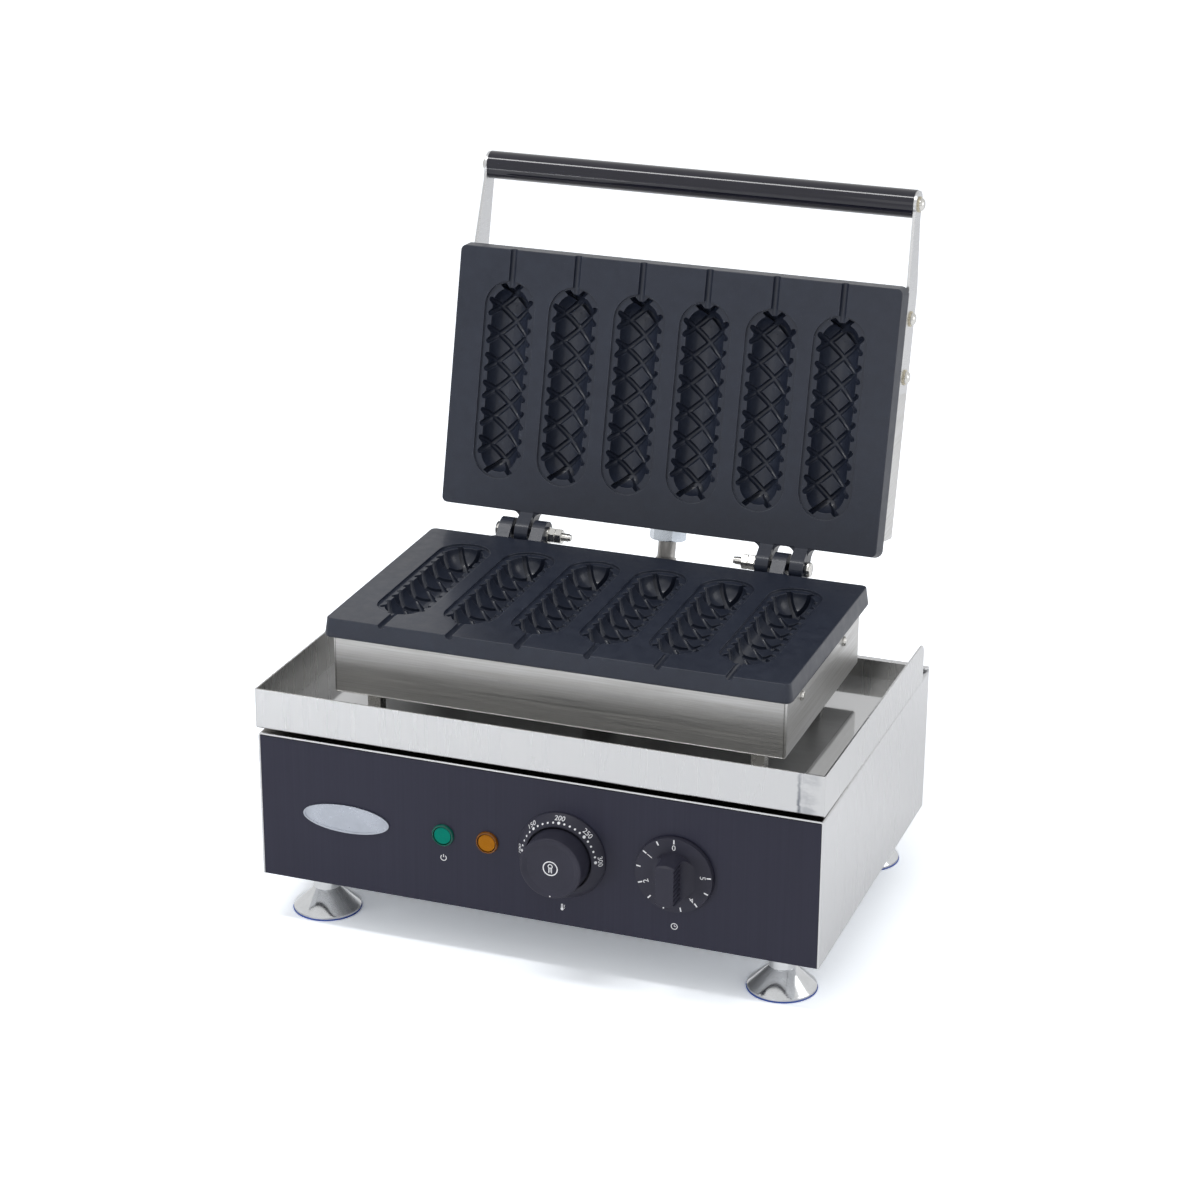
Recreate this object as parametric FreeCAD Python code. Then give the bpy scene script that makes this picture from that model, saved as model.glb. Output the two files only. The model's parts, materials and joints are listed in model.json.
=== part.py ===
import FreeCAD, Part
import math
import os

# Corn dog maker: a countertop cooker with two hinged cast plates, each with six
# patterned cavities. The plates stand in their housings above a drip tray and a
# base box that holds the controls. Millimetres; X to the right, Y to the rear, Z up.
# The origin is on the worktop, midway between the four sides of the base box.
# The lid is drawn open, as it stands against its stop.

V = FreeCAD.Vector
right = V(1, 0, 0)
rearwards = V(0, 1, 0)
up = V(0, 0, 1)
left = V(-1, 0, 0)
forwards = V(0, -1, 0)
down = V(0, 0, -1)
big = 1000.0

# Sheet and fits
sheet = 1.2
edge_break = 0.4
slip = 0.1
running = 0.06
face_gap = 0.3

# Base box
base_width = 400.0
base_depth = 267.0
base_height = 106.5
base_corner = 2.0
flange = 15.0
fascia_thickness = 1.5
fascia_top_gap = 0.6
fascia_side_gap = 0.2
rear_upstand = 3.0
rear_hem = 4.5
rear_corner = 3.0
vent_width = 4.0
vent_length = 40.0
vent_pitch = 12.0
vent_count = 6
vent_height = 62.0
vent_offset = 85.0
floor_vent_count = 7
floor_vent_length = 80.0
panel_screw_spread = 31.0

# Feet
foot_height = 34.5
foot_rim = 47.5
foot_rim_height = 3.2
foot_cone_top = 16.5
foot_waist = 17.0
foot_collar = 19.0
foot_shank = 8.0
foot_shank_length = 14.0
foot_side_inset = 33.5
foot_front_inset = 31.0
foot_rear_inset = 28.0
foot_nut_flats = 13.0
foot_nut_height = 6.5

# Drip tray
tray_rest = 0.2
tray_tilt = 0.8
tray_side_overhang = 0.4
tray_front_overhang = 2.0
tray_wall = 29.2
tray_rear_wall = 15.0
tray_rear_setback = 30.8
tray_hem = 4.0
tray_ear = 11.0
tray_ear_corner = 9.0
tray_bend = 2.5

# Posts between the tray and the lower housing
post_width = 9.3
housing_clearance = 19.8
post_spacing_x = 276.0
post_front_inset = 60.0
post_spacing_y = 132.0
post_bolt = 6.0
post_nut_flats = 10.0
post_nut_height = 5.0
post_head_height = 4.0
thread_rest = 2.5
spacer_diameter = 16.0
sleeve_diameter = 22.0
sleeve_wall = 1.5
sleeve_rim = 2.0
sleeve_room = 2.0

# Cast plates; both are the same casting, the upper one is turned over
plate_width = 328.0
plate_depth = 187.0
plate_front_inset = 36.0
plate_rim = 13.5
plate_draft = 2.0
plate_corner = 4.0
plate_edge_round = 2.0
pad_side_gap = 7.8
pad_end_gap = 6.3
pad_drop = 9.0
boss_width = 14.0
boss_drop = 29.5

# Cavities, six in each plate
cavity_count = 6
cavity_pitch = 49.2
cavity_shift = 0.5
recess_width = 38.5
recess_length = 143.0
recess_depth = 1.8
trough_radius = 14.0
trough_length = 133.4
groove_width = 4.0
groove_depth = 2.75
groove_reach = 2.4
groove_shift = -2.0
groove_end_room = 1.0
groove_pitch = 20.0
groove_crossings = 7
stick_groove_width = 5.0
stick_groove_depth = 2.75

# Housings of the plates
plate_overhang_side = 3.0
plate_overhang_front = 5.0
plate_overhang_rear = 7.0
housing_height = 42.5
housing_corner = 2.0
housing_screw_front = 34.0
housing_screw_pitch = 100.0
housing_screw_drop = 10.0

# Heating elements, clamps and insulation
heater_diameter = 8.0
heater_side_gap = 13.0
heater_pitch = 38.0
heater_runs = 4
clamp_thickness = 2.0
clamp_side_gap = 17.0
clamp_end_gap = 12.0
mat_post_gap = 16.0
mat_end_gap = 11.3
stack_gap = 0.2

# Hinge
hinge_setback = 14.5
hinge_spacing = 194.4
lug_radius = 9.75
lug_fillet = 6.0
middle_lug = 10.3
lug_gap = 2.6
outer_lug = 9.8
hinge_bolt = 6.0
hinge_bolt_length = 53.0
hinge_head_height = 4.0
hinge_nut_flats = 10.0
hinge_nut_height = 5.0
hinge_washer = 12.0
hinge_washer_thickness = 1.6
lid_open_angle = 103.5

# Handle
arm_thickness = 2.0
arm_lean = 2.0
arm_bend_gap = 2.0
arm_width = 24.0
arm_neck_width = 16.0
arm_tip_radius = 9.5
arm_height = 34.3
arm_rear = 110.0
arm_shoulder = 35.0
arm_neck = -10.0
arm_screw_front = 57.5
arm_screw_rear = 98.5
grip_diameter = 20.0
grip_reach = 21.8
grip_screw_depth = 20.0

# Pan head screws and their washers
pan_screw = 5.0
pan_head = 9.2
pan_head_height = 3.0
pan_washer = 11.0
pan_washer_thickness = 1.0
pan_screw_length = 12.0
small_screw = 4.0
small_head = 7.0
small_head_height = 2.2
small_screw_length = 8.0

# Wiring conduit between the lid and the base
gland_height = 35.5
gland_flats = 24.0
gland_body_length = 8.0
gland_nut_length = 10.0
gland_nut_gap = 0.5
gland_ferrule = 13.0
gland_ferrule_length = 12.0
gland_thread = 16.0
gland_bore = 9.0
locknut_flats = 24.0
locknut_height = 4.0
grommet_inset = 18.0
grommet_neck = 19.0
grommet_flange = 24.0
grommet_lip = 2.5
conduit_diameter = 15.0
conduit_root = 13.0
conduit_bore = 10.5
conduit_pitch = 3.0
conduit_bend = 9.0
conduit_slack = 62.0

# Oval plate on the fascia
badge_share = -0.3394
badge_z = 52.25
badge_width = 63.5
badge_height = 20.5
badge_thickness = 1.2
badge_rim = 1.3
badge_recess = 0.4

# Signal lamps
lamp_z = 52.25
green_lamp_share = -0.16125
amber_lamp_share = -0.08125
lens_rim = 16.0
lens_rim_proud = 2.2
lens_disc = 12.2
lens_disc_proud = 1.7
lens_groove = 0.5
lens_groove_depth = 1.0
lamp_body_diameter = 11.6
lamp_body_length = 30.0
lamp_hole = 12.8
lamp_clip = 3.0
lamp_tab_gap = 6.0

# Thermostat
thermostat_share = 0.0525
control_z = 52.4
dial_rim = 62.0
dial_rim_proud = 1.2
dial_shoulder = 56.0
dial_shoulder_proud = 4.7
dial_crest = 48.4
dial_hole = 46.6
dial_proud = 7.6
dial_floor = 1.6
knob_diameter = 44.0
knob_front_diameter = 43.4
knob_proud = 22.9
knob_gap = 0.6
knob_hollow = 0.7
knob_edge = 1.0
shaft_diameter = 6.0
shaft_reach = 15.0
shaft_flat = 8.0
shaft_depth = 12.0
tab_height = 7.0
tab_width = 6.4
tab_thickness = 0.8
neck_diameter = 10.0
thermostat_size = 36.0
thermostat_depth = 28.0

# Timer
timer_share = 0.25075
skirt_base = 54.6
skirt_face = 53.6
skirt_proud = 3.6
hub_diameter = 32.5
hub_front_diameter = 30.0
timer_proud = 22.0
grip_bar_width = 12.8
grip_bar_scoop = 9.0
grip_rib_count = 8
grip_rib_pitch = 3.4
grip_rib_groove = 1.8
grip_rib_start = 10.0
timer_size = 50.0
timer_height = 44.0
timer_depth = 40.0

# Cable inlet and terminal block
inlet_share = 0.325
inlet_z = 30.0
inlet_thread = 15.0
inlet_flats = 22.0
inlet_flange = 6.0
inlet_dome = 20.0
inlet_dome_length = 12.0
inlet_bore = 8.0
inlet_nut = 5.0
terminal_setback = 60.0
terminal_width = 60.0
terminal_depth = 20.0
terminal_height = 16.0
terminal_ways = 5

# Places that follow from the sizes above
base_front = -base_depth / 2
base_rear = base_depth / 2
base_side = base_width / 2
base_bottom = foot_height
base_top = base_bottom + base_height
deck_bottom = base_top - sheet
floor_bottom = base_bottom + sheet
tray_front = base_front - tray_front_overhang
tray_rear = base_rear - tray_rear_setback
tray_depth = tray_rear - tray_front
tray_bottom = base_top + tray_rest
housing_bottom = base_top + housing_clearance
plate_underside = housing_bottom + housing_height
plate_face = plate_underside + plate_rim
hinge_z = plate_face + face_gap / 2
plate_front = base_front + plate_front_inset
plate_rear = plate_front + plate_depth
hinge_y = plate_rear + hinge_setback
housing_front = plate_front + plate_overhang_front
housing_rear = plate_rear - plate_overhang_rear
housing_depth = housing_rear - housing_front
housing_width = plate_width - 2 * plate_overhang_side
housing_side = housing_width / 2
plate_middle = (plate_front + plate_rear) / 2
housing_middle = (housing_front + housing_rear) / 2
pad_bottom = plate_underside - pad_drop
pad_width = housing_width - 2 * (sheet + pad_side_gap)
pad_depth = housing_depth - 2 * (sheet + pad_end_gap)
clamp_width = pad_width - 2 * clamp_side_gap
clamp_depth = pad_depth - 2 * clamp_end_gap
clamp_top = pad_bottom - heater_diameter - 2 * stack_gap
mat_width = post_spacing_x - 2 * mat_post_gap
mat_depth = housing_depth - 2 * (sheet + mat_end_gap)
mat_top = clamp_top - clamp_thickness - stack_gap
cavity_middle = plate_middle + cavity_shift
badge_x = badge_share * base_width
green_lamp_x = green_lamp_share * base_width
amber_lamp_x = amber_lamp_share * base_width
thermostat_x = thermostat_share * base_width
timer_x = timer_share * base_width
inlet_x = inlet_share * base_width
grip_y = base_front - grip_reach
handle_z = hinge_z + arm_height
grip_side = housing_side - arm_lean
gland_z = hinge_z + gland_height
fascia_top = base_top - sheet - fascia_top_gap
fascia_front = base_front
fascia_back = fascia_front + fascia_thickness


# Plain solids

def block(x0, x1, y0, y1, z0, z1):
    return Part.makeBox(x1 - x0, y1 - y0, z1 - z0, V(x0, y0, z0))


def rod(diameter, start, direction, length):
    return Part.makeCylinder(diameter / 2, length, start, direction)


def pipe(outer, inner, start, direction, length):
    return rod(outer, start, direction, length).cut(rod(inner, start, direction, length))


def standing(shape, start, direction):
    """Move a shape drawn along +Z from the origin so that it stands at start."""
    placed = shape.copy()
    placed.Placement = FreeCAD.Placement(start, FreeCAD.Rotation(up, direction))
    return placed


def turned(outline):
    """Revolve an outline of (radius, height) points about Z."""
    points = [V(radius, 0, height) for radius, height in outline]
    face = Part.Face(Part.makePolygon(points + [points[0]]))
    return face.revolve(V(0, 0, 0), up, 360)


def fused(shapes):
    whole = shapes[0]
    if len(shapes) > 1:
        whole = whole.fuse(shapes[1:])
    return whole.removeSplitter()


def rounded(shape, radius, chosen):
    edges = [edge for edge in shape.Edges if chosen(edge.BoundBox)]
    return shape.makeFillet(radius, edges)


def slab(points, x0, x1):
    """Extrude an outline of (y, z) points from x0 to x1."""
    corners = [V(x0, y, z) for y, z in points]
    face = Part.Face(Part.makePolygon(corners + [corners[0]]))
    return face.extrude(V(x1 - x0, 0, 0))


def rounded_rectangle(width, depth, corner, middle_y, z):
    x = width / 2
    y = depth / 2
    flat = [V(-x + corner, -y, 0), V(x - corner, -y, 0), V(x, -y + corner, 0), V(x, y - corner, 0),
            V(x - corner, y, 0), V(-x + corner, y, 0), V(-x, y - corner, 0), V(-x, -y + corner, 0)]
    bow = corner * math.sqrt(0.5)
    middles = [V(x - corner + bow, -y + corner - bow, 0), V(x - corner + bow, y - corner + bow, 0),
               V(-x + corner - bow, y - corner + bow, 0), V(-x + corner - bow, -y + corner - bow, 0)]
    shift = V(0, middle_y, z)
    edges = []
    for i in range(4):
        start = flat[2 * i] + shift
        end = flat[2 * i + 1] + shift
        beyond = flat[(2 * i + 2) % 8] + shift
        edges.append(Part.LineSegment(start, end).toShape())
        edges.append(Part.Arc(end, middles[i] + shift, beyond).toShape())
    return Part.Wire(edges)


def hexagon(flats, length, bore):
    """A nut blank along +Z: six flats, both ends chamfered, with a bore."""
    corner = flats / math.sqrt(3)
    points = [V(corner * math.cos(math.radians(60 * i)), corner * math.sin(math.radians(60 * i)), 0)
              for i in range(7)]
    prism = Part.Face(Part.makePolygon(points)).extrude(V(0, 0, length))
    flare = (corner - flats / 2 * 0.97) * math.tan(math.radians(30))
    envelope = turned([(0, 0), (flats / 2 * 0.97, 0), (corner, flare), (corner, length - flare),
                       (flats / 2 * 0.97, length), (0, length)])
    nut = prism.common(envelope)
    if bore > 0:
        nut = nut.cut(rod(bore, V(0, 0, -1), up, length + 2))
    return nut


def hex_bolt(shank, flats, head_height, length):
    """A bolt along +Z with its head below the origin."""
    head = standing(hexagon(flats, head_height, 0), V(0, 0, -head_height), up)
    stem = turned([(0, -head_height / 2), (shank / 2, -head_height / 2), (shank / 2, length - edge_break),
                   (shank / 2 - edge_break, length), (0, length)])
    return fused([head, stem])


def pan_screw_shape(shank, head, head_height, length):
    """A pan head screw along +Z with its head below the origin."""
    return turned([(0, -head_height), (head * 0.3, -head_height * 0.93), (head * 0.44, -head_height * 0.65),
                   (head / 2, -head_height * 0.25), (head / 2, 0), (shank / 2, 0), (shank / 2, length - 1),
                   (shank / 2 - 1, length), (0, length)])


def post_places():
    front = base_front + post_front_inset
    return [V(side * post_spacing_x / 2, y, 0) for side in (-1, 1) for y in (front, front + post_spacing_y)]


def foot_places():
    x = base_side - foot_side_inset
    front = base_front + foot_front_inset
    rear = base_rear - foot_rear_inset
    return {"front_left": V(-x, front, 0), "front_right": V(x, front, 0),
            "rear_left": V(-x, rear, 0), "rear_right": V(x, rear, 0)}


def opened(shape):
    """Swing a piece of the closed lid open about the hinge."""
    piece = shape.copy()
    piece.rotate(V(0, hinge_y, hinge_z), right, -lid_open_angle)
    return piece


def turned_over(shape):
    """Turn a piece of the lower half over, so that it faces down on the closed lid."""
    piece = shape.copy()
    piece.rotate(V(0, 0, hinge_z), rearwards, 180)
    return piece


parts = {}


# Base box

def make_base_shell():
    rear = base_rear - sheet
    outer = block(-base_side, base_side, base_front, rear, base_bottom, base_top)
    outer = rounded(outer, base_corner, lambda b: b.YLength > base_depth / 2 and b.ZMin > base_bottom + 1)
    inside = base_side - sheet
    hollow = block(-inside, inside, base_front - 1, rear + 1, base_bottom - 1, deck_bottom)
    hollow = rounded(hollow, base_corner - sheet,
                     lambda b: b.YLength > base_depth / 2 and b.ZMin > base_bottom)
    pieces = [outer.cut(hollow)]
    inner_side = base_side - sheet
    for side in (-1, 1):
        x = sorted((side * inner_side, side * (inner_side - flange)))
        pieces.append(block(x[0], x[1], fascia_back, rear, base_bottom, floor_bottom))
        pieces.append(block(x[0], x[1], fascia_back, fascia_back + sheet, base_bottom, deck_bottom))
        pieces.append(block(x[0], x[1], rear - sheet, rear, base_bottom, deck_bottom))
    pieces.append(block(-inner_side, inner_side, fascia_back, fascia_back + sheet,
                        deck_bottom - flange, deck_bottom))
    shell = fused(pieces)
    for place in post_places():
        shell = shell.cut(rod(post_bolt + 2 * slip, place + up * (deck_bottom - 1), up, 3 * sheet))
    shell = shell.cut(rod(sleeve_diameter + 2 * slip, V(0, plate_middle, deck_bottom - 1), up, 3 * sheet))
    deck_hole = V(0, base_rear - grommet_inset, deck_bottom - 1)
    return shell.cut(rod(grommet_neck + 2 * slip, deck_hole, up, 3 * sheet))


def make_rear_panel():
    top = base_top + rear_upstand
    panel = block(-base_side, base_side, base_rear - sheet, base_rear, base_bottom, top)
    hem = block(-base_side, base_side, base_rear - rear_hem, base_rear, top - sheet, top)
    hem = rounded(hem, rear_corner, lambda b: b.ZLength > sheet / 2 and b.YMax < base_rear - 1)
    panel = fused([panel, hem])
    inlet = V(inlet_x, base_rear + 1, base_bottom + inlet_z)
    panel = panel.cut(rod(inlet_thread + 2 * slip, inlet, forwards, 3 * sheet))
    for side in (-1, 1):
        for i in range(vent_count):
            z = base_bottom + vent_height + (i - (vent_count - 1) / 2) * vent_pitch * 2 / 3
            x = side * vent_offset
            slot = block(x - vent_length / 2, x + vent_length / 2, base_rear - 2 * sheet, base_rear + 1,
                         z - vent_width / 2, z + vent_width / 2)
            slot = rounded(slot, vent_width * 0.45, lambda b: b.YLength > sheet and b.XLength < 1)
            panel = panel.cut(slot)
    for place in rear_screw_places():
        panel = panel.cut(rod(small_screw + 2 * slip, place + rearwards, forwards, 3 * sheet))
    return panel


def rear_screw_places():
    x = base_side - sheet - flange / 2
    return [V(side * x, base_rear, z) for side in (-1, 1)
            for z in (base_bottom + flange, base_top - flange)]


def floor_screw_places():
    x = base_side - sheet - flange / 2
    return [V(side * x, y, base_bottom) for side in (-1, 1)
            for y in (base_front + foot_front_inset + panel_screw_spread,
                      base_rear - foot_rear_inset - panel_screw_spread)]


def make_bottom_plate():
    x = base_side - sheet - slip
    plate = block(-x, x, fascia_back + sheet + slip, base_rear - 2 * sheet - slip,
                  floor_bottom, floor_bottom + sheet)
    for place in foot_places().values():
        plate = plate.cut(rod(foot_shank + 2 * slip, place + up * (floor_bottom - 1), up, 3 * sheet))
    for row in range(floor_vent_count):
        y = (row - (floor_vent_count - 1) / 2) * vent_pitch
        plate = plate.cut(block(-floor_vent_length / 2, floor_vent_length / 2,
                                y - vent_width / 2, y + vent_width / 2,
                                floor_bottom - 1, floor_bottom + 2 * sheet))
    for place in floor_screw_places():
        plate = plate.cut(rod(small_screw + 2 * slip, place + up * (sheet - 1), up, 3 * sheet))
    return plate


def make_panel_screws():
    screw = pan_screw_shape(small_screw, small_head, small_head_height, small_screw_length)
    rear = [standing(screw, place, forwards) for place in rear_screw_places()]
    floor = [standing(screw, place, up) for place in floor_screw_places()]
    return Part.makeCompound(rear + floor)


def screw_holes(shape, places, direction):
    for place in places:
        shape = shape.cut(rod(small_screw + 2 * slip, place - direction, direction, small_screw_length + 2))
    return shape


shell = make_base_shell()
shell = screw_holes(shell, rear_screw_places(), forwards)
shell = screw_holes(shell, floor_screw_places(), up)
parts["base_shell"] = shell
parts["rear_panel"] = make_rear_panel()
parts["bottom_plate"] = make_bottom_plate()
parts["panel_screws"] = make_panel_screws()


# Front fascia and the oval plate

def on_fascia(x, z):
    return V(x, fascia_front, base_bottom + z)


def make_fascia():
    x = base_side - sheet - fascia_side_gap
    plate = block(-x, x, fascia_front, fascia_back, base_bottom + fascia_side_gap, fascia_top)
    for lamp_x in (green_lamp_x, amber_lamp_x):
        start = on_fascia(lamp_x, lamp_z) + forwards
        plate = plate.cut(rod(lamp_hole, start, rearwards, 3 * fascia_thickness))
    for control_x in (thermostat_x, timer_x):
        hole = rod(neck_diameter + 2 * slip, on_fascia(control_x, control_z) + forwards, rearwards,
                   3 * fascia_thickness)
        plate = plate.cut(hole)
    return plate


def oval(width, height, depth):
    curve = Part.Ellipse(V(0, 0, 0), width / 2, height / 2)
    return Part.Face(Part.Wire(curve.toShape())).extrude(V(0, 0, depth))


def make_badge():
    plate = oval(badge_width, badge_height, badge_thickness)
    pocket = oval(badge_width - 2 * badge_rim, badge_height - 2 * badge_rim, badge_thickness)
    plate = plate.cut(pocket.translated(up * (badge_thickness - badge_recess)))
    return standing(plate, on_fascia(badge_x, badge_z), forwards)


parts["front_fascia"] = make_fascia()
parts["badge_plate"] = make_badge()


# Signal lamps

def make_lens():
    """A lamp head in one moulding: a rim, a groove and a flat disc inside it."""
    rim = lens_rim / 2
    disc = lens_disc / 2
    floor = lens_rim_proud - lens_groove_depth
    return turned([(0, 0), (rim, 0), (rim, lens_rim_proud * 0.35), (rim - 0.4, lens_rim_proud * 0.8),
                   (rim - 0.9, lens_rim_proud), (disc + lens_groove + 0.1, lens_rim_proud * 0.93),
                   (disc + lens_groove, floor), (disc, floor), (disc - 0.2, lens_disc_proud),
                   (0, lens_disc_proud)])


def make_lamp_body():
    barrel = rod(lamp_body_diameter, V(0, 0, 0), down, lamp_body_length)
    clip = pipe(lens_rim, lamp_body_diameter, V(0, 0, -fascia_thickness - lamp_clip), up, lamp_clip)
    back = -lamp_body_length
    tabs = [block(x - tab_thickness / 2, x + tab_thickness / 2, -tab_width / 2, tab_width / 2,
                  back - tab_height, back) for x in (-lamp_tab_gap / 2, lamp_tab_gap / 2)]
    return fused([barrel, clip] + tabs)


lamp_places = [on_fascia(green_lamp_x, lamp_z), on_fascia(amber_lamp_x, lamp_z)]
lamp_bodies = [standing(make_lamp_body(), place, forwards) for place in lamp_places]
parts["lamp_bodies"] = Part.makeCompound(lamp_bodies)
parts["green_lens"] = standing(make_lens(), lamp_places[0], forwards)
parts["amber_lens"] = standing(make_lens(), lamp_places[1], forwards)


# Thermostat: fixed dial ring, turning knob on its shaft, body behind the fascia

def make_dial():
    """The dial ring: its face is domed from a thin rim up to the hole that the knob stands in."""
    hole = dial_hole / 2
    neck = neck_diameter / 2 + slip
    rim = V(dial_rim / 2, 0, dial_rim_proud)
    shoulder = V(dial_shoulder / 2, 0, dial_shoulder_proud)
    crest = V(dial_crest / 2, 0, dial_proud)
    corners = [crest, V(hole, 0, dial_proud), V(hole, 0, dial_floor), V(neck, 0, dial_floor), V(neck, 0, 0),
               V(dial_rim / 2, 0, 0), rim]
    edges = [Part.Arc(rim, shoulder, crest).toShape()]
    edges += [Part.LineSegment(corners[i], corners[i + 1]).toShape() for i in range(len(corners) - 1)]
    return Part.Face(Part.Wire(edges)).revolve(V(0, 0, 0), up, 360)


def make_temperature_knob():
    base = knob_diameter / 2
    front = knob_front_diameter / 2
    bottom = dial_floor + knob_gap
    body = turned([(0, bottom), (base, bottom), (front, knob_proud - knob_edge),
                   (front - knob_edge * 0.3, knob_proud - knob_edge * 0.3), (front - knob_edge, knob_proud),
                   (front - 2, knob_proud), (front - 5, knob_proud - knob_hollow),
                   (0, knob_proud - knob_hollow)])
    return body.cut(rod(shaft_diameter, V(0, 0, 0), up, shaft_reach))


def make_shaft(depth):
    """A control's shaft along +Z, from inside its body to inside its knob."""
    stem = rod(shaft_diameter, V(0, 0, -depth), up, depth + shaft_reach)
    return stem.cut(block(-shaft_diameter, shaft_diameter, shaft_diameter * 0.3, shaft_diameter,
                          shaft_reach - shaft_flat, shaft_reach + 1))


def make_control_body(width, height, depth, bench):
    case = block(-width / 2, width / 2, -height / 2, height / 2,
                 -fascia_thickness - depth, -fascia_thickness)
    case = rounded(case, 2, lambda b: b.ZLength > depth / 2)
    neck = rod(neck_diameter, V(0, 0, -fascia_thickness - 1), up, fascia_thickness + 1 + bench)
    back = -fascia_thickness - depth
    tabs = [block(x - tab_width / 2, x + tab_width / 2, -tab_thickness / 2, tab_thickness / 2,
                  back - tab_height, back) for x in (-width / 4, width / 4)]
    body = fused([case, neck] + tabs)
    return body.cut(rod(shaft_diameter + 2 * running, V(0, 0, -shaft_root - 1), up, big))


thermostat_place = on_fascia(thermostat_x, control_z)
timer_place = on_fascia(timer_x, control_z)
shaft_root = fascia_thickness + shaft_depth
thermostat_body = make_control_body(thermostat_size, thermostat_size, thermostat_depth, dial_floor)
parts["thermostat_dial"] = standing(make_dial(), thermostat_place, forwards)
parts["temperature_knob"] = standing(make_temperature_knob(), thermostat_place, forwards)
parts["thermostat_shaft"] = standing(make_shaft(shaft_root), thermostat_place, forwards)
parts["thermostat_body"] = standing(thermostat_body, thermostat_place, forwards)


# Timer: a skirted bar knob on its shaft, body behind the fascia

def make_timer_knob():
    skirt = turned([(0, knob_gap), (skirt_base / 2, knob_gap), (skirt_base / 2, knob_gap + 1),
                    (skirt_face / 2, skirt_proud), (0, skirt_proud)])
    hub = turned([(0, skirt_proud - 1), (hub_diameter / 2, skirt_proud - 1), (hub_diameter / 2, skirt_proud),
                  (hub_front_diameter / 2, timer_proud - 1.5), (hub_front_diameter / 2 - 1.2, timer_proud),
                  (0, timer_proud)])
    for side in (-1, 1):
        scoop_x = side * (grip_bar_width / 2 + grip_bar_scoop)
        scoop = rod(2 * grip_bar_scoop, V(scoop_x, -big, skirt_proud + grip_bar_scoop), rearwards, 2 * big)
        x = sorted((scoop_x, side * (grip_bar_width / 2)))
        above = block(x[0], x[1], -big, big, skirt_proud + grip_bar_scoop, big)
        beyond = sorted((scoop_x, side * big))
        outside = block(beyond[0], beyond[1], -big, big, skirt_proud, big)
        hub = hub.cut(scoop.fuse([above, outside]))
        first = -(grip_rib_count - 1) / 2 * grip_rib_pitch
        flank = side * (grip_bar_width / 2 + grip_rib_groove / 4)
        starts = [V(flank, first + i * grip_rib_pitch, grip_rib_start) for i in range(grip_rib_count)]
        hub = hub.cut([rod(grip_rib_groove, start, up, timer_proud) for start in starts])
    knob = fused([skirt, hub])
    return knob.cut(rod(shaft_diameter, V(0, 0, 0), up, shaft_reach))


timer_body = make_control_body(timer_size, timer_height, timer_depth, 0)
parts["timer_knob"] = standing(make_timer_knob(), timer_place, forwards)
parts["timer_shaft"] = standing(make_shaft(shaft_root), timer_place, forwards)
parts["timer_body"] = standing(timer_body, timer_place, forwards)


# Cable inlet and terminal block

def make_inlet():
    flange_part = hexagon(inlet_flats, inlet_flange, 0)
    dome = turned([(0, inlet_flange), (inlet_dome / 2, inlet_flange), (inlet_dome / 2, inlet_flange + 8),
                   (inlet_dome / 2 - 4, inlet_flange + inlet_dome_length),
                   (0, inlet_flange + inlet_dome_length)])
    inner_end = -sheet - inlet_nut - thread_rest
    thread = rod(inlet_thread, V(0, 0, inner_end), up, 1 - inner_end)
    whole = fused([flange_part, dome, thread])
    return whole.cut(rod(inlet_bore, V(0, 0, -big), up, 2 * big))


def make_terminal_block():
    y = base_rear - terminal_setback
    z = floor_bottom + sheet
    body = block(inlet_x - terminal_width, inlet_x, y - terminal_depth / 2, y + terminal_depth / 2, z,
                 z + terminal_height)
    pitch = terminal_width / terminal_ways
    for i in range(terminal_ways):
        x = inlet_x - terminal_width + (i + 0.5) * pitch
        body = body.cut(rod(pitch * 0.5, V(x, y - terminal_depth, z + terminal_height / 2), rearwards, big))
        body = body.cut(rod(pitch * 0.4, V(x, y, z + terminal_height / 2), up, terminal_height))
    return body


inlet_place = V(inlet_x, base_rear, base_bottom + inlet_z)
lock_ring = hexagon(inlet_flats, inlet_nut, inlet_thread)
parts["cable_inlet"] = standing(make_inlet(), inlet_place, rearwards)
parts["cable_inlet_nut"] = standing(lock_ring, inlet_place + forwards * (sheet + inlet_nut), rearwards)
parts["terminal_block"] = make_terminal_block()


# Feet: chrome bells with a collar and a threaded shank, in weld nuts on the bottom plate

def make_foot():
    rim = foot_rim / 2
    waist = foot_waist / 2
    collar = foot_collar / 2
    shank = foot_shank / 2
    top = floor_bottom
    return turned([(0, 1), (rim - 3, 1), (rim - 2, 0), (rim - 0.6, 0), (rim, 0.6),
                   (rim, foot_rim_height - 0.8), (rim - 0.8, foot_rim_height),
                   (waist + 4, foot_cone_top - 3.5), (waist + 1.2, foot_cone_top - 1),
                   (waist, foot_cone_top), (collar - 0.5, foot_cone_top), (collar, foot_cone_top + 0.5),
                   (collar, top), (shank, top), (shank, top + foot_shank_length - 1),
                   (shank - 1, top + foot_shank_length), (0, top + foot_shank_length)])


for name, place in foot_places().items():
    parts["foot_" + name] = make_foot().translated(place)
foot_nut = hexagon(foot_nut_flats, foot_nut_height, foot_shank + 2 * slip)
parts["foot_nuts"] = Part.makeCompound([standing(foot_nut, place + up * (floor_bottom + sheet), up)
                                        for place in foot_places().values()])


# Drip tray

def tray_underside_at(y):
    """Height of the tilted tray's underside at a place along Y."""
    return tray_bottom + (tray_rear + tray_ear - y) * math.tan(math.radians(tray_tilt))


def tray_floor_at(y):
    return tray_underside_at(y) + sheet / math.cos(math.radians(tray_tilt))


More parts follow.
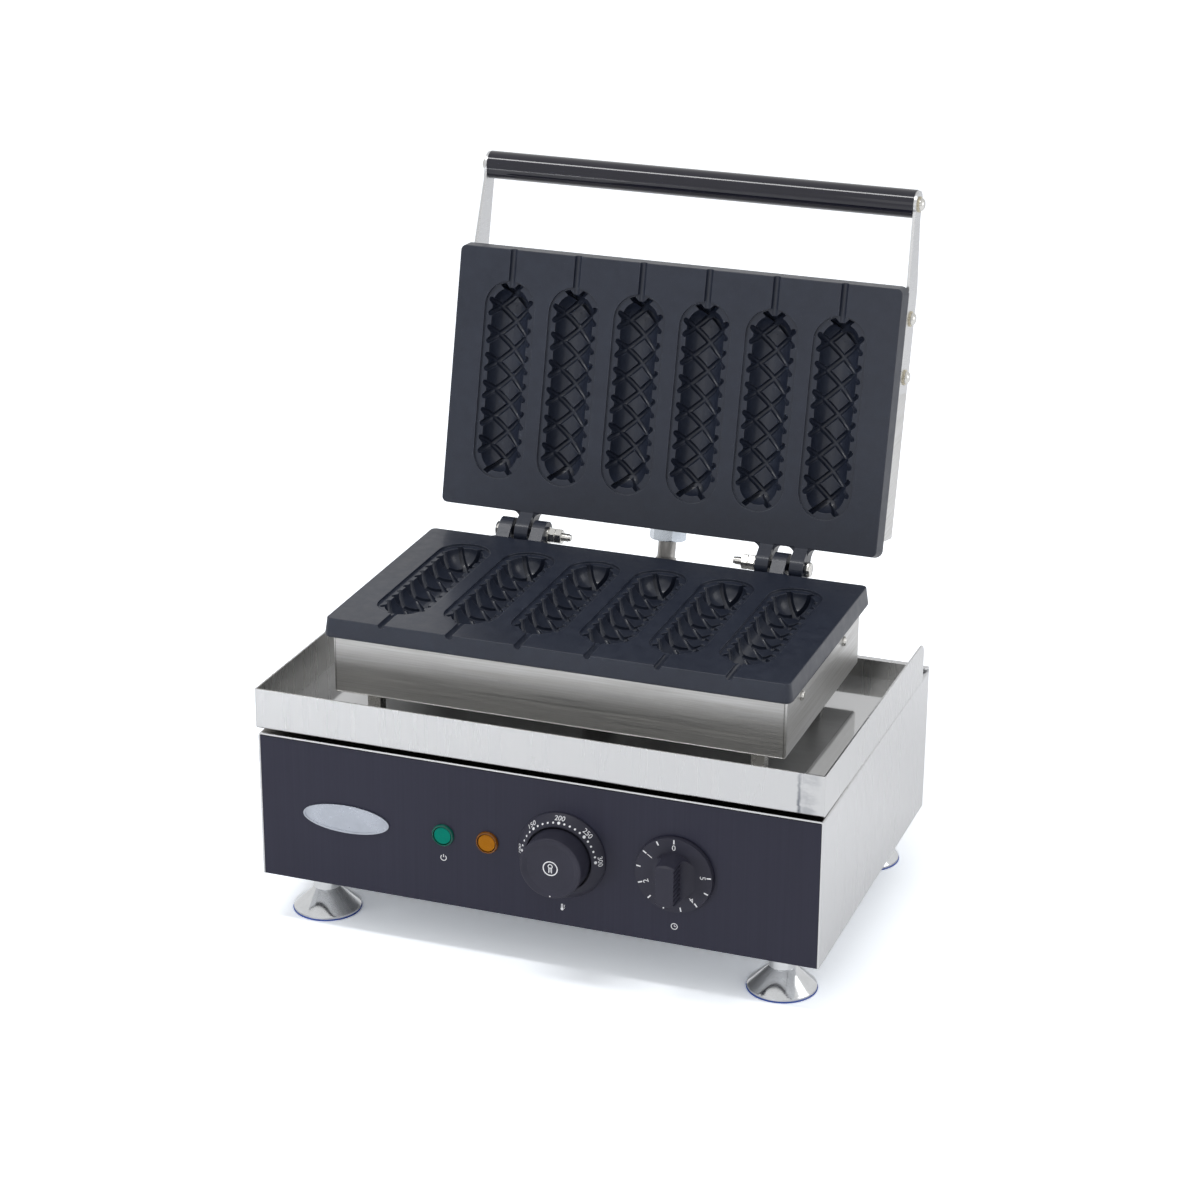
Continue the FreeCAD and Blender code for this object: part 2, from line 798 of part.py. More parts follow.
def make_tray():
    """The tray, drawn level and then tipped up at the front about its rear edge."""
    side = base_side + tray_side_overhang
    floor = tray_bottom + sheet
    top = tray_bottom + tray_wall
    outer = block(-side, side, tray_front, tray_rear, tray_bottom, top)
    outer = rounded(outer, tray_bend, lambda b: b.ZMax < tray_bottom + 1 and b.XLength > 1 and b.YMax < 0)
    inner = block(-side + sheet, side - sheet, tray_front + sheet, tray_rear - sheet, floor, top + 1)
    inner = rounded(inner, tray_bend - sheet, lambda b: b.ZMax < floor + 1 and b.XLength > 1 and b.YMax < 0)
    tray = outer.cut(inner)
    rear_top = tray_bottom + tray_rear_wall
    inner_side = side - sheet
    tray = tray.cut(block(-inner_side, inner_side, tray_rear - 2 * sheet, tray_rear + 1, rear_top, top + 1))
    pieces = [tray, block(-inner_side, inner_side, tray_rear - sheet, tray_rear + tray_hem,
                          rear_top - sheet, rear_top)]
    for x in (-side, inner_side):
        ear = block(x, x + sheet, tray_rear - 2 * sheet, tray_rear + tray_ear, tray_bottom, top)
        ear = rounded(ear, tray_ear_corner,
                      lambda b: b.XLength > sheet / 2 and b.ZMin > top - 1 and b.YMin > tray_rear)
        pieces.append(ear)
    tray = fused(pieces)
    tray.rotate(V(0, tray_rear + tray_ear, tray_bottom), right, -tray_tilt)
    for place in post_places():
        tray = tray.cut(rod(post_bolt + 2 * slip, place + up * deck_bottom, up, post_bolt * 2))
    return tray.cut(rod(sleeve_diameter + 2 * slip, V(0, plate_middle, deck_bottom), up, sleeve_diameter))


parts["drip_tray"] = make_tray()


# Posts, their bolts, and the sleeve for the lower element's wires

def make_posts():
    half = post_width / 2
    pieces = []
    for place in post_places():
        foot = tray_floor_at(place.y - half)
        post = block(place.x - half, place.x + half, place.y - half, place.y + half, foot, housing_bottom)
        pieces.append(post.cut(rod(post_bolt + 2 * slip, place, up, big)))
    return Part.makeCompound(pieces)


def make_post_bolts():
    length = housing_bottom + sheet - deck_bottom + post_nut_height + thread_rest
    bolt = hex_bolt(post_bolt, post_nut_flats, post_head_height, length)
    return Part.makeCompound([standing(bolt, place + up * (housing_bottom + sheet), down)
                              for place in post_places()])


def make_post_nuts():
    nut = hexagon(post_nut_flats, post_nut_height, post_bolt)
    return Part.makeCompound([standing(nut, place + up * deck_bottom, down) for place in post_places()])


def make_tray_spacers():
    """Washers cut to suit the tilt, between the deck and the tray."""
    pieces = []
    for place in post_places():
        height = tray_underside_at(place.y + spacer_diameter / 2) - base_top
        pieces.append(pipe(spacer_diameter, post_bolt + 2 * slip, place + up * base_top, up, height))
    return Part.makeCompound(pieces)


parts["housing_posts"] = make_posts()
parts["post_bolts"] = make_post_bolts()
parts["post_nuts"] = make_post_nuts()
parts["tray_spacers"] = make_tray_spacers()
sleeve_start = V(0, plate_middle, deck_bottom - flange)
sleeve_length = housing_bottom + sheet + sleeve_rim - sleeve_start.z
sleeve_inside = sleeve_diameter - 2 * sleeve_wall
parts["wire_sleeve"] = pipe(sleeve_diameter, sleeve_inside, sleeve_start, up, sleeve_length)


# Cast plate, drawn as the lower one

def lug(x0, x1):
    """One hinge lug: a round boss on the hinge axis with a web to the plate."""
    boss = rod(2 * lug_radius, V(x0, hinge_y, hinge_z), right, x1 - x0)
    slope = lug_radius * math.sqrt(0.5)
    web = slab([(plate_rear - 2, plate_face), (plate_rear + edge_break, plate_face),
                (hinge_y - slope, hinge_z + slope), (hinge_y, hinge_z), (hinge_y, hinge_z - lug_radius),
                (plate_rear + plate_draft, plate_underside), (plate_rear - 2, plate_underside)], x0, x1)
    fillets = []
    for side, x in ((-1, x0), (1, x1)):
        span = sorted((x - side, x + side * lug_fillet))
        corner = block(span[0], span[1], plate_rear - 1, plate_rear + lug_fillet, plate_underside,
                       plate_face - edge_break)
        hollow = V(x + side * lug_fillet, plate_rear + lug_fillet, plate_underside - 1)
        fillets.append(corner.cut(rod(2 * lug_fillet, hollow, up, 2 * plate_rim)))
    return boss.fuse([web] + fillets)


def lug_spans():
    """Where along X the lugs stand: two outer ones on the left, a middle one on the right."""
    centre = hinge_spacing / 2
    inner = middle_lug / 2 + lug_gap
    outer = inner + outer_lug
    return [(-centre - outer, -centre - inner), (-centre + inner, -centre + outer),
            (centre - middle_lug / 2, centre + middle_lug / 2)]


def groove_disc(y, angle):
    """A round-nosed disc that stands across the cavity at 45 degrees, through the centre line at y."""
    depth = trough_radius + groove_depth
    half_chord = (trough_radius + groove_reach) * math.sqrt(2)
    radius = (half_chord ** 2 + depth ** 2) / (2 * depth)
    nose = groove_width / 2
    hub = V(0, 0, 0)
    inner = radius - nose
    edges = [Part.LineSegment(V(0, 0, -nose), V(inner, 0, -nose)).toShape(),
             Part.Arc(V(inner, 0, -nose), V(radius, 0, 0), V(inner, 0, nose)).toShape(),
             Part.LineSegment(V(inner, 0, nose), V(0, 0, nose)).toShape(),
             Part.LineSegment(V(0, 0, nose), V(0, 0, -nose)).toShape()]
    disc = Part.Face(Part.Wire(edges)).revolve(hub, up, 360)
    disc = standing(disc, hub, rearwards)
    disc.rotate(hub, up, angle)
    return disc.translated(V(0, y, plate_face - recess_depth - depth + radius))


def capsule(radius, axis_z, middle_y, length):
    """A round bar with ball ends along Y."""
    half = length / 2 - trough_radius
    bar = rod(2 * radius, V(0, middle_y - half, axis_z), rearwards, 2 * half)
    ends = [Part.makeSphere(radius, V(0, middle_y + sign * half, axis_z)) for sign in (-1, 1)]
    return bar.fuse(ends).removeSplitter()


def make_cavity():
    """The cutter of one cavity on the plate's centre line."""
    middle = cavity_middle
    floor = plate_face - recess_depth
    recess = block(-recess_width / 2, recess_width / 2,
                   middle - recess_length / 2, middle + recess_length / 2, floor, plate_face + 1)
    recess = rounded(recess, recess_width / 2 - 0.01,
                     lambda b: b.ZLength > 1 and b.XLength < 1 and b.YLength < 1)
    below = block(-big, big, -big, big, plate_face - 3 * trough_radius, floor + recess_depth / 2)
    trough = capsule(trough_radius, floor, middle, trough_length).common(below)
    discs = []
    for i in range(groove_crossings):
        y = middle + groove_shift + (i - (groove_crossings - 1) / 2) * groove_pitch
        discs += [groove_disc(y, 45), groove_disc(y, -45)]
    room = trough_radius + groove_depth + groove_end_room
    within = capsule(room, floor, middle, trough_length).common(below)
    grooves = within.common(discs[0].fuse(discs[1:]))
    front = plate_front - plate_draft - 1
    rear = middle - trough_length / 2 + trough_radius / 2
    stick_z = plate_face - stick_groove_depth + stick_groove_width / 2
    stick = rod(stick_groove_width, V(0, front, stick_z), rearwards, rear - front)
    stick_top = block(-stick_groove_width / 2, stick_groove_width / 2, front, rear, stick_z, plate_face + 1)
    return recess.fuse([trough, grooves, stick, stick_top])


def make_plate():
    depth_y = plate_middle
    outline = [(0.4, 0), (0, edge_break), (plate_draft * 0.85, plate_rim - plate_edge_round),
               (plate_draft * 0.8, plate_rim - plate_edge_round * 0.4), (plate_draft * 0.4, plate_rim)]
    wires = []
    for i, (grow, depth) in enumerate(outline):
        out = -grow if i == 0 else grow
        wires.append(rounded_rectangle(plate_width + 2 * out, plate_depth + 2 * out, plate_corner + out,
                                       depth_y, plate_face - depth))
    plate = Part.makeLoft(wires, True, True)
    pad = block(-pad_width / 2, pad_width / 2, housing_middle - pad_depth / 2, housing_middle + pad_depth / 2,
                pad_bottom, plate_face - plate_rim / 2)
    pieces = [plate, pad]
    for place in housing_screw_places():
        side = 1 if place.x > 0 else -1
        x = sorted((side * (housing_side - sheet - slip), side * (pad_width / 2 - 4)))
        pieces.append(block(x[0], x[1], place.y - boss_width / 2, place.y + boss_width / 2,
                            plate_face - boss_drop, plate_face - plate_rim / 2))
    pieces += [lug(x0, x1) for x0, x1 in lug_spans()]
    plate = plate.fuse(pieces[1:])
    plate = plate.cut(rod(hinge_bolt + 2 * running, V(-big, hinge_y, hinge_z), right, 2 * big))
    cavity = make_cavity()
    cutters = []
    for i in range(cavity_count):
        x = (i - (cavity_count - 1) / 2) * cavity_pitch
        cutters.append(cavity.translated(V(x, 0, 0)))
    for place in housing_screw_places():
        inward = left if place.x > 0 else right
        cutters.append(rod(small_screw, place, inward, small_screw_length + sheet + 1))
    return plate.cut(cutters)


def housing_screw_places():
    z = plate_underside - housing_screw_drop
    return [V(side * housing_side, housing_front + y, z) for side in (-1, 1)
            for y in (housing_screw_front, housing_screw_front + housing_screw_pitch)]


def make_housing(screws):
    """An open topped box of sheet, drawn as the lower housing."""
    outer = block(-housing_side, housing_side, housing_front, housing_rear, housing_bottom, plate_underside)
    outer = rounded(outer, housing_corner, lambda b: b.ZMin < plate_underside - 1)
    inner = block(-housing_side + sheet, housing_side - sheet, housing_front + sheet, housing_rear - sheet,
                  housing_bottom + sheet, plate_underside + 1)
    inner = rounded(inner, housing_corner - sheet, lambda b: b.ZMin < plate_underside)
    box = outer.cut(inner)
    for place in screws:
        box = box.cut(rod(small_screw + 2 * slip, place - right * 5, right, 10))
    return box


def make_housing_screws(places):
    screw = pan_screw_shape(small_screw, small_head, small_head_height, small_screw_length)
    pieces = []
    for place in places:
        inward = left if place.x > 0 else right
        pieces.append(standing(screw, place, inward))
    return Part.makeCompound(pieces)


# Heating element: straight runs joined by half turns, under the pad of the plate

def make_heater():
    z = pad_bottom - stack_gap - heater_diameter / 2
    heater_run = (pad_width - heater_pitch - heater_diameter) / 2 - heater_side_gap
    first = housing_middle - (heater_runs - 1) / 2 * heater_pitch
    edges = []
    for i in range(heater_runs):
        y = first + i * heater_pitch
        side = 1 if i % 2 == 0 else -1
        edges.append(Part.LineSegment(V(-side * heater_run, y, z), V(side * heater_run, y, z)).toShape())
        if i < heater_runs - 1:
            middle = V(side * (heater_run + heater_pitch / 2), y + heater_pitch / 2, z)
            turn = Part.Arc(V(side * heater_run, y, z), middle, V(side * heater_run, y + heater_pitch, z))
            edges.append(turn.toShape())
    path = Part.Wire(edges)
    ring = Part.Wire(Part.Circle(V(-heater_run, first, z), right, heater_diameter / 2).toShape())
    return path.makePipeShell([ring], True, True)


def make_clamp():
    return block(-clamp_width / 2, clamp_width / 2,
                 housing_middle - clamp_depth / 2, housing_middle + clamp_depth / 2,
                 clamp_top - clamp_thickness, clamp_top)


def make_mat():
    return block(-mat_width / 2, mat_width / 2,
                 housing_middle - mat_depth / 2, housing_middle + mat_depth / 2,
                 housing_bottom + sheet + stack_gap, mat_top)


plate = make_plate()
heater = make_heater()
clamp = make_clamp()
mat = make_mat()

lower_housing = make_housing(housing_screw_places())
for place in post_places():
    below = place + up * (housing_bottom - 1)
    lower_housing = lower_housing.cut(rod(post_bolt + 2 * slip, below, up, 3 * sheet))
sleeve_hole = rod(sleeve_diameter + 2 * slip, V(0, plate_middle, housing_bottom - 1), up, 3 * sheet)
lower_housing = lower_housing.cut(sleeve_hole)
mat_hole = rod(sleeve_diameter + 2 * sleeve_room, V(0, plate_middle, housing_bottom), up, 3 * sleeve_rim)
parts["lower_plate"] = plate
parts["lower_housing"] = lower_housing
parts["lower_housing_screws"] = make_housing_screws(housing_screw_places())
parts["lower_heater"] = heater
parts["lower_heater_clamp"] = clamp
parts["lower_insulation"] = mat.cut(mat_hole)


# Lid: the same casting turned over, with its own housing, handle and conduit gland

def arm_screw_places():
    return [V(side * (housing_side + arm_thickness), base_front + y, handle_z) for side in (-1, 1)
            for y in (arm_screw_front, arm_screw_rear)]


def grip_screw_places():
    return [V(side * (grip_side + arm_thickness), grip_y, handle_z) for side in (-1, 1)]


def make_arm(side):
    """A flat strap along the housing, leaning in towards the grip ahead of it."""
    z = handle_z
    shoulder = base_front + arm_shoulder
    rear = base_front + arm_rear
    neck = base_front + arm_neck
    x = sorted((side * (grip_side - 1), side * (housing_side + arm_thickness + 1)))
    outline = slab([(shoulder, z - arm_width / 2), (rear, z - arm_width / 2), (rear, z + arm_width / 2),
                    (shoulder, z + arm_width / 2), (neck, z + arm_neck_width / 2),
                    (grip_y, z + arm_neck_width / 2),
                    (grip_y, z - arm_neck_width / 2), (neck, z - arm_neck_width / 2)], x[0], x[1])
    outline = rounded(outline, 3, lambda b: b.XLength > 1 and b.YMin > rear - 1)
    disc = rod(2 * arm_tip_radius, V(x[0], grip_y, z), right, x[1] - x[0])
    tip = grip_y - 2 * arm_tip_radius
    bend_front = grip_y + arm_tip_radius + arm_bend_gap
    bend_rear = housing_front - arm_bend_gap
    inner = [(grip_side, tip), (grip_side, bend_front), (housing_side, bend_rear), (housing_side, rear + 1)]
    outer = [(x_inner + arm_thickness, y) for x_inner, y in reversed(inner)]
    corners = [V(side * x_corner, y, z - arm_width) for x_corner, y in inner + outer]
    strap = Part.Face(Part.makePolygon(corners + [corners[0]])).extrude(up * (2 * arm_width))
    arm = fused([outline, disc]).common(strap)
    for place in arm_screw_places() + grip_screw_places():
        arm = arm.cut(rod(pan_screw + 2 * slip, V(x[0] - 1, place.y, z), right, x[1] - x[0] + 2))
    return arm


def make_grip():
    grip = rod(grip_diameter, V(-grip_side, grip_y, handle_z), right, 2 * grip_side)
    for side, inward in ((-1, right), (1, left)):
        grip = grip.cut(rod(pan_screw, V(side * grip_side, grip_y, handle_z), inward, grip_screw_depth))
    return grip


def screw_and_washers():
    screw = pan_screw_shape(pan_screw, pan_head, pan_head_height, pan_screw_length)
    washer = pipe(pan_washer, pan_screw + 2 * slip, V(0, 0, 0), up, pan_washer_thickness)
    screws = []
    washers = []
    for place in arm_screw_places() + grip_screw_places():
        inward = left if place.x > 0 else right
        outer = place - inward * pan_washer_thickness
        screws.append(opened(standing(screw, outer, inward)))
        washers.append(opened(standing(washer, outer, inward)))
    return Part.makeCompound(screws), Part.makeCompound(washers)


def make_lid_gland():
    """A conduit gland along +Z: thread, hexagon body, hexagon nut and ferrule."""
    nut_start = gland_body_length + gland_nut_gap
    nut_end = nut_start + gland_nut_length
    inner_end = -sheet - locknut_height - thread_rest
    thread = rod(gland_thread, V(0, 0, inner_end), up, 1 - inner_end)
    body = hexagon(gland_flats, gland_body_length, 0)
    collar = rod(gland_flats * 0.9, V(0, 0, gland_body_length - 1), up, gland_nut_gap + 2)
    nut = standing(hexagon(gland_flats, gland_nut_length, 0), V(0, 0, nut_start), up)
    ferrule = rod(gland_ferrule, V(0, 0, nut_end - 1), up, gland_ferrule_length + 1)
    whole = fused([thread, body, collar, nut, ferrule])
    return whole.cut(rod(gland_bore, V(0, 0, -big), up, 2 * big))


def make_grommet():
    """A soft ring in the deck, with a lip above and below the sheet."""
    bore = conduit_diameter / 2 + face_gap
    neck = grommet_neck / 2
    lip = grommet_flange / 2
    foot = -sheet - grommet_lip
    return turned([(bore, foot), (lip - 1, foot), (lip, foot + 1), (lip, -sheet), (neck, -sheet),
                   (neck, 0), (lip, 0), (lip, grommet_lip - 1), (lip - 1, grommet_lip), (bore, grommet_lip)])


# The arms cover the front of the lid's housing, so only its rear pair of screws is left.
lid_screws = [place for place in housing_screw_places() if place.y > base_front + arm_rear + small_head]
lid_housing = turned_over(make_housing(lid_screws))
for place in arm_screw_places():
    lid_housing = lid_housing.cut(rod(pan_screw + 2 * slip, V(place.x - 10, place.y, place.z), right, 20))
gland_wall = V(0, housing_rear, gland_z)
lid_housing = lid_housing.cut(rod(gland_thread + 2 * slip, gland_wall + rearwards, forwards, 3 * sheet))
lid_gland = make_lid_gland()
lid_gland.rotate(V(0, 0, 0), up, 30)
lid_locknut = hexagon(locknut_flats, locknut_height, gland_thread)
lid_locknut = standing(lid_locknut, gland_wall + forwards * sheet, forwards)
parts["upper_plate"] = opened(turned_over(plate))
parts["upper_housing"] = opened(lid_housing)
parts["upper_housing_screws"] = opened(turned_over(make_housing_screws(lid_screws)))
parts["upper_heater"] = opened(turned_over(heater))
parts["upper_heater_clamp"] = opened(turned_over(clamp))
parts["upper_insulation"] = opened(turned_over(mat))
parts["left_arm"] = opened(make_arm(-1))
parts["right_arm"] = opened(make_arm(1))
parts["handle_grip"] = opened(make_grip())
parts["handle_screws"], parts["handle_washers"] = screw_and_washers()
parts["lid_gland"] = opened(standing(lid_gland, gland_wall, rearwards))
parts["lid_locknut"] = opened(lid_locknut)
deck_place = V(0, base_rear - grommet_inset, base_top)
parts["deck_grommet"] = standing(make_grommet(), deck_place, up)


# Hinge bolts: the left one sits in the lower plate, the right one in the lid

def make_hinge_hardware(side):
    """A bolt with its head on the outer side, a washer and two nuts on the inner side."""
    centre = side * hinge_spacing / 2
    half = middle_lug / 2 + lug_gap + outer_lug
    inward = left if side > 0 else right
    start = V(centre + side * half, hinge_y, hinge_z)
    seat = V(centre - side * half, hinge_y, hinge_z)
    bolt = hex_bolt(hinge_bolt, hinge_nut_flats, hinge_head_height, hinge_bolt_length)
    bolt = standing(bolt, start, inward)
    washer = standing(pipe(hinge_washer, hinge_bolt, V(0, 0, 0), up, hinge_washer_thickness), seat, inward)
    nut = hexagon(hinge_nut_flats, hinge_nut_height, hinge_bolt)
    first = seat + inward * hinge_washer_thickness
    nuts = [standing(nut, first, inward), standing(nut, first + inward * hinge_nut_height, inward)]
    return bolt, Part.makeCompound([washer] + nuts)


parts["left_hinge_bolt"], parts["left_hinge_nuts"] = make_hinge_hardware(-1)
right_bolt, right_nuts = make_hinge_hardware(1)
parts["right_hinge_bolt"] = opened(right_bolt)
parts["right_hinge_nuts"] = opened(right_nuts)


# Conduit: a ribbed hose from the lid gland down through the grommet in the deck. The
# length that hangs inside the base is drawn up through the grommet as the lid closes.

def swung(point):
    turn = FreeCAD.Rotation(right, -lid_open_angle)
    axis = V(0, hinge_y, hinge_z)
    return turn.multVec(point - axis) + axis


def conduit_route():
    """Straight runs at both ends, with two bends and a straight run between."""
    reach = gland_body_length + gland_nut_gap + gland_nut_length + gland_ferrule_length
    start = swung(gland_wall + rearwards * reach)
    heading = (start - swung(gland_wall)).normalize()
    end = deck_place + down * conduit_slack
    first = start + heading * (conduit_diameter + conduit_bend)
    second = deck_place + up * (grommet_lip + conduit_bend)
    points = [start, first, second, end]
    edges = []
    here = start
    for i in (1, 2):
        before = (points[i] - points[i - 1]).normalize()
        after = (points[i + 1] - points[i]).normalize()
        enter = points[i] - before * conduit_bend
        leave = points[i] + after * conduit_bend
        half_turn = before.getAngle(after) / 2
        radius = conduit_bend / math.tan(half_turn)
        inward = (after - before).normalize()
        centre = points[i] + inward * (radius / math.cos(half_turn))
        middle = centre - inward * radius
        edges.append(Part.LineSegment(here, enter).toShape())
        edges.append(Part.Arc(enter, middle, leave).toShape())
        here = leave
        print("conduit bend radius", round(radius, 1), "turn", round(math.degrees(2 * half_turn), 1))
    edges.append(Part.LineSegment(here, end).toShape())
    return Part.Wire(edges)


def ring_at(route, distance, diameter):
    """A circle square to the route, with its seam on the X axis."""
    for edge in route.OrderedEdges:
        if distance <= edge.Length + 1e-6:
            break
        distance -= edge.Length
    where = edge.getParameterByLength(min(distance, edge.Length))
    point = edge.valueAt(where)
    heading = edge.tangentAt(where)
    circle = Part.Circle(point, heading, diameter / 2)
    circle.XAxis = right
    return Part.Wire(circle.toShape())


def make_conduit():
    route = conduit_route()
    ribs = round(route.Length / conduit_pitch)
    pitch = route.Length / ribs
    rings = []
    for i in range(ribs):
        for share, diameter in ((0, conduit_root), (0.2, conduit_root), (0.4, conduit_diameter),
                                (0.8, conduit_diameter)):
            rings.append(ring_at(route, (i + share) * pitch, diameter))
    rings.append(ring_at(route, route.Length, conduit_root))
    hose = Part.makeLoft(rings, True, True)
    bore = Part.makeLoft([ring_at(route, i * pitch, conduit_bore) for i in range(ribs + 1)], True, True)
    print("conduit length", round(route.Length, 1), "ribs", ribs, "volume", round(hose.Volume, 0))
    return hose.cut(bore)


parts["conduit"] = make_conduit()


# One STEP file per piece

os.makedirs("parts", exist_ok=True)
for name, shape in parts.items():
    shape.exportStep("parts/" + name + ".step")
print(len(parts), "pieces")
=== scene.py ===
import bpy
import bmesh
import json
import math
from mathutils import Matrix, Vector


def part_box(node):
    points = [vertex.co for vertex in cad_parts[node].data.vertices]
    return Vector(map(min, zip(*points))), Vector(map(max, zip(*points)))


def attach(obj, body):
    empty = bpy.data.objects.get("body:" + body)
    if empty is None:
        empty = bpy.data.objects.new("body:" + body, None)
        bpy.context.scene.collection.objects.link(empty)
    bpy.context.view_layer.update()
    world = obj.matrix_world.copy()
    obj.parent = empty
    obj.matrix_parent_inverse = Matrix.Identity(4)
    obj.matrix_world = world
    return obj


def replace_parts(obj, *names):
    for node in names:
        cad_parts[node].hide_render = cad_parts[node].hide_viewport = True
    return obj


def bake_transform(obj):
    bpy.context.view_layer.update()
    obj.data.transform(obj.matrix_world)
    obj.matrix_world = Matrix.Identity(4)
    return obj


# Corn dog maker with its lid open, on a white studio floor. Metres, Z up, front towards -Y.

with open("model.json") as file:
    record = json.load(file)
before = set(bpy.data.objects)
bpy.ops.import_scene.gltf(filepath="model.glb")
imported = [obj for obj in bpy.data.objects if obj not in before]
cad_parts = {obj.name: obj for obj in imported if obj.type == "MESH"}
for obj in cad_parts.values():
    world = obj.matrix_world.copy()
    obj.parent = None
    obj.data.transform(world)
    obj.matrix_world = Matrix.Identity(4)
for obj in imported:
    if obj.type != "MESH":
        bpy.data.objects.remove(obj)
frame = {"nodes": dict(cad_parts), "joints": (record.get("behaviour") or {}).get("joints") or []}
nodes = frame["nodes"]
joints = {joint["name"]: joint for joint in frame["joints"]}
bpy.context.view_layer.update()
mm = 0.001
print("frame:", len(nodes), "nodes")


# Camera, light and floor

camera = {
    "place": (0.68261, -1.89191, 1.01674),
    "azimuth": 20.265,  # degrees round from the front towards the right
    "elevation": 23.093,
    "roll": 0.186,
    "focal": 94.476,  # on a 36 mm sensor
    "shift": (0.01656, 0.06372),
}
studio = {
    "skyMirrored": 0.80,
    "horizonLevel": 0.46,
    "zenithLevel": 0.80,
    "floorColour": (0.90, 0.905, 0.915),
    "floorShown": (1.50, 1.55, 1.61),  # above 1, so that only the shadow on the floor has a tone
    "floorMirrored": (1.04, 1.05, 1.07),
    "floorSize": 12.0,
    "backdropWhite": 1.0,
}
lamps = {  # place, target, width, height, watts, seen in metal
    "topStrip": ((-0.45, -0.41, 1.83), (-0.45, 0.1, 0.2), 1.1, 0.22, 9.0, True),
    "rightStrip": ((2.1, 0.3, 1.1), (0.1, 0, 0.2), 1.2, 1.8, 12.0, True),
    "frontFill": ((0.2, -2.4, 1.1), (0, 0, 0.1), 1.6, 1.0, 3.0, True),
    "lowKey": ((-0.66, -0.98, 0.06), (0.02, -0.13, 0.09), 0.3, 0.1, 3.0, False),
}


def makeCamera():
    data = bpy.data.cameras.new("camera")
    data.sensor_width = 36
    data.lens = camera["focal"]
    data.shift_x, data.shift_y = camera["shift"]
    data.clip_start, data.clip_end = 0.05, 60
    eye = bpy.data.objects.new("camera", data)
    bpy.context.scene.collection.objects.link(eye)
    turn = (Matrix.Rotation(math.radians(camera["azimuth"]), 4, "Z")
            @ Matrix.Rotation(math.radians(90 - camera["elevation"]), 4, "X")
            @ Matrix.Rotation(math.radians(camera["roll"]), 4, "Z"))
    eye.matrix_world = Matrix.Translation(camera["place"]) @ turn
    bpy.context.scene.camera = eye


def makeLamps():
    for name, (place, target, width, height, watts, mirrored) in lamps.items():
        data = bpy.data.lights.new(name, "AREA")
        data.shape = "RECTANGLE"
        data.size, data.size_y = width, height
        data.energy = watts
        lamp = bpy.data.objects.new(name, data)
        bpy.context.scene.collection.objects.link(lamp)
        lamp.location = place
        lamp.rotation_euler = (Vector(target) - Vector(place)).to_track_quat("-Z", "Y").to_euler()
        lamp.visible_camera = False
        lamp.visible_glossy = mirrored


# Shader sums: a Wire is a socket that takes part in Python expressions

class Wire:
    def __init__(self, shader, socket):
        self.shader = shader
        self.socket = socket

    def maths(self, operation, first, second=None):
        return self.shader.maths(operation, first, second)

    def __add__(self, other):
        return self.maths("ADD", self, other)

    def __sub__(self, other):
        return self.maths("SUBTRACT", self, other)

    def __rsub__(self, other):
        return self.maths("SUBTRACT", other, self)

    def __mul__(self, other):
        return self.maths("MULTIPLY", self, other)

    def __truediv__(self, other):
        return self.maths("DIVIDE", self, other)

    def __pow__(self, other):
        return self.maths("POWER", self, other)

    def __lt__(self, other):
        return self.maths("LESS_THAN", self, other)

    def __gt__(self, other):
        return self.maths("GREATER_THAN", self, other)

    def __abs__(self):
        return self.maths("ABSOLUTE", self)

    __radd__ = __add__
    __rmul__ = __mul__


class Shader:
    def __init__(self, owner):
        self.tree = owner.node_tree
        self.tree.nodes.clear()

    def add(self, kind, settings=None, values=None, take=0):
        made = self.tree.nodes.new("ShaderNode" + kind)
        for key, value in (settings or {}).items():
            if key == "stops":
                for i, (place, colour) in enumerate(value):
                    if i > 1:
                        made.color_ramp.elements.new(place)
                    made.color_ramp.elements[i].position = place
                    made.color_ramp.elements[i].color = (*colour, 1)
            else:
                setattr(made, key, value)
        for key, value in (values or {}).items():
            if isinstance(value, Wire):
                self.tree.links.new(value.socket, made.inputs[key])
            else:
                made.inputs[key].default_value = value
        if isinstance(take, tuple):
            return [Wire(self, made.outputs[name]) for name in take]
        return Wire(self, made.outputs[take]) if made.outputs else None

    def maths(self, operation, first, second=None):
        return self.add("Math", {"operation": operation}, {0: first} if second is None else {0: first, 1: second})

    def spread(self, low, high, value, outLow=0.0, outHigh=1.0):
        return self.add("MapRange", {"clamp": True},
                        {"Value": value, "From Min": low, "From Max": high, "To Min": outLow, "To Max": outHigh})

    def stretched(self, scales):
        return self.add("VectorMath", {"operation": "MULTIPLY"},
                        {0: self.add("TexCoord", take="Object"), 1: scales})

    def noise(self, scales, detail=2.0, rough=0.5):
        return self.add("TexNoise", None, {"Vector": self.stretched(scales), "Scale": 1.0, "Detail": detail,
                                           "Roughness": rough})

    def tinted(self, factor, first, second):
        return self.add("Mix", {"data_type": "RGBA"}, {0: factor, 6: (*first, 1) if isinstance(first, tuple) else first,
                                                       7: (*second, 1) if isinstance(second, tuple) else second}, 2)

    def bumped(self, height, strength, distance, normal=None):
        values = {"Height": height, "Strength": strength, "Distance": distance}
        if normal:
            values["Normal"] = normal
        return self.add("Bump", None, values)

    def surface(self, **values):
        named = {key.replace("_", " "): value for key, value in values.items()}
        for key, value in named.items():
            if key in ("Base Color", "Emission Color", "Specular Tint") and isinstance(value, tuple):
                named[key] = (*value, 1)
        shader = self.add("BsdfPrincipled", None, named)
        self.add("OutputMaterial", None, {"Surface": shader})
        return shader


def newMaterial(name):
    material = bpy.data.materials.new(name)
    material.use_nodes = True
    return material, Shader(material)


# Finishes

steelFinish = {
    "colour": (0.66, 0.665, 0.675),
    "shade": 0.955,  # how dark the brush lines are against the colour
    "roughness": (0.24, 0.34),
    "grain": 0.004 * mm,
    "edge": 0.3 * mm,
}


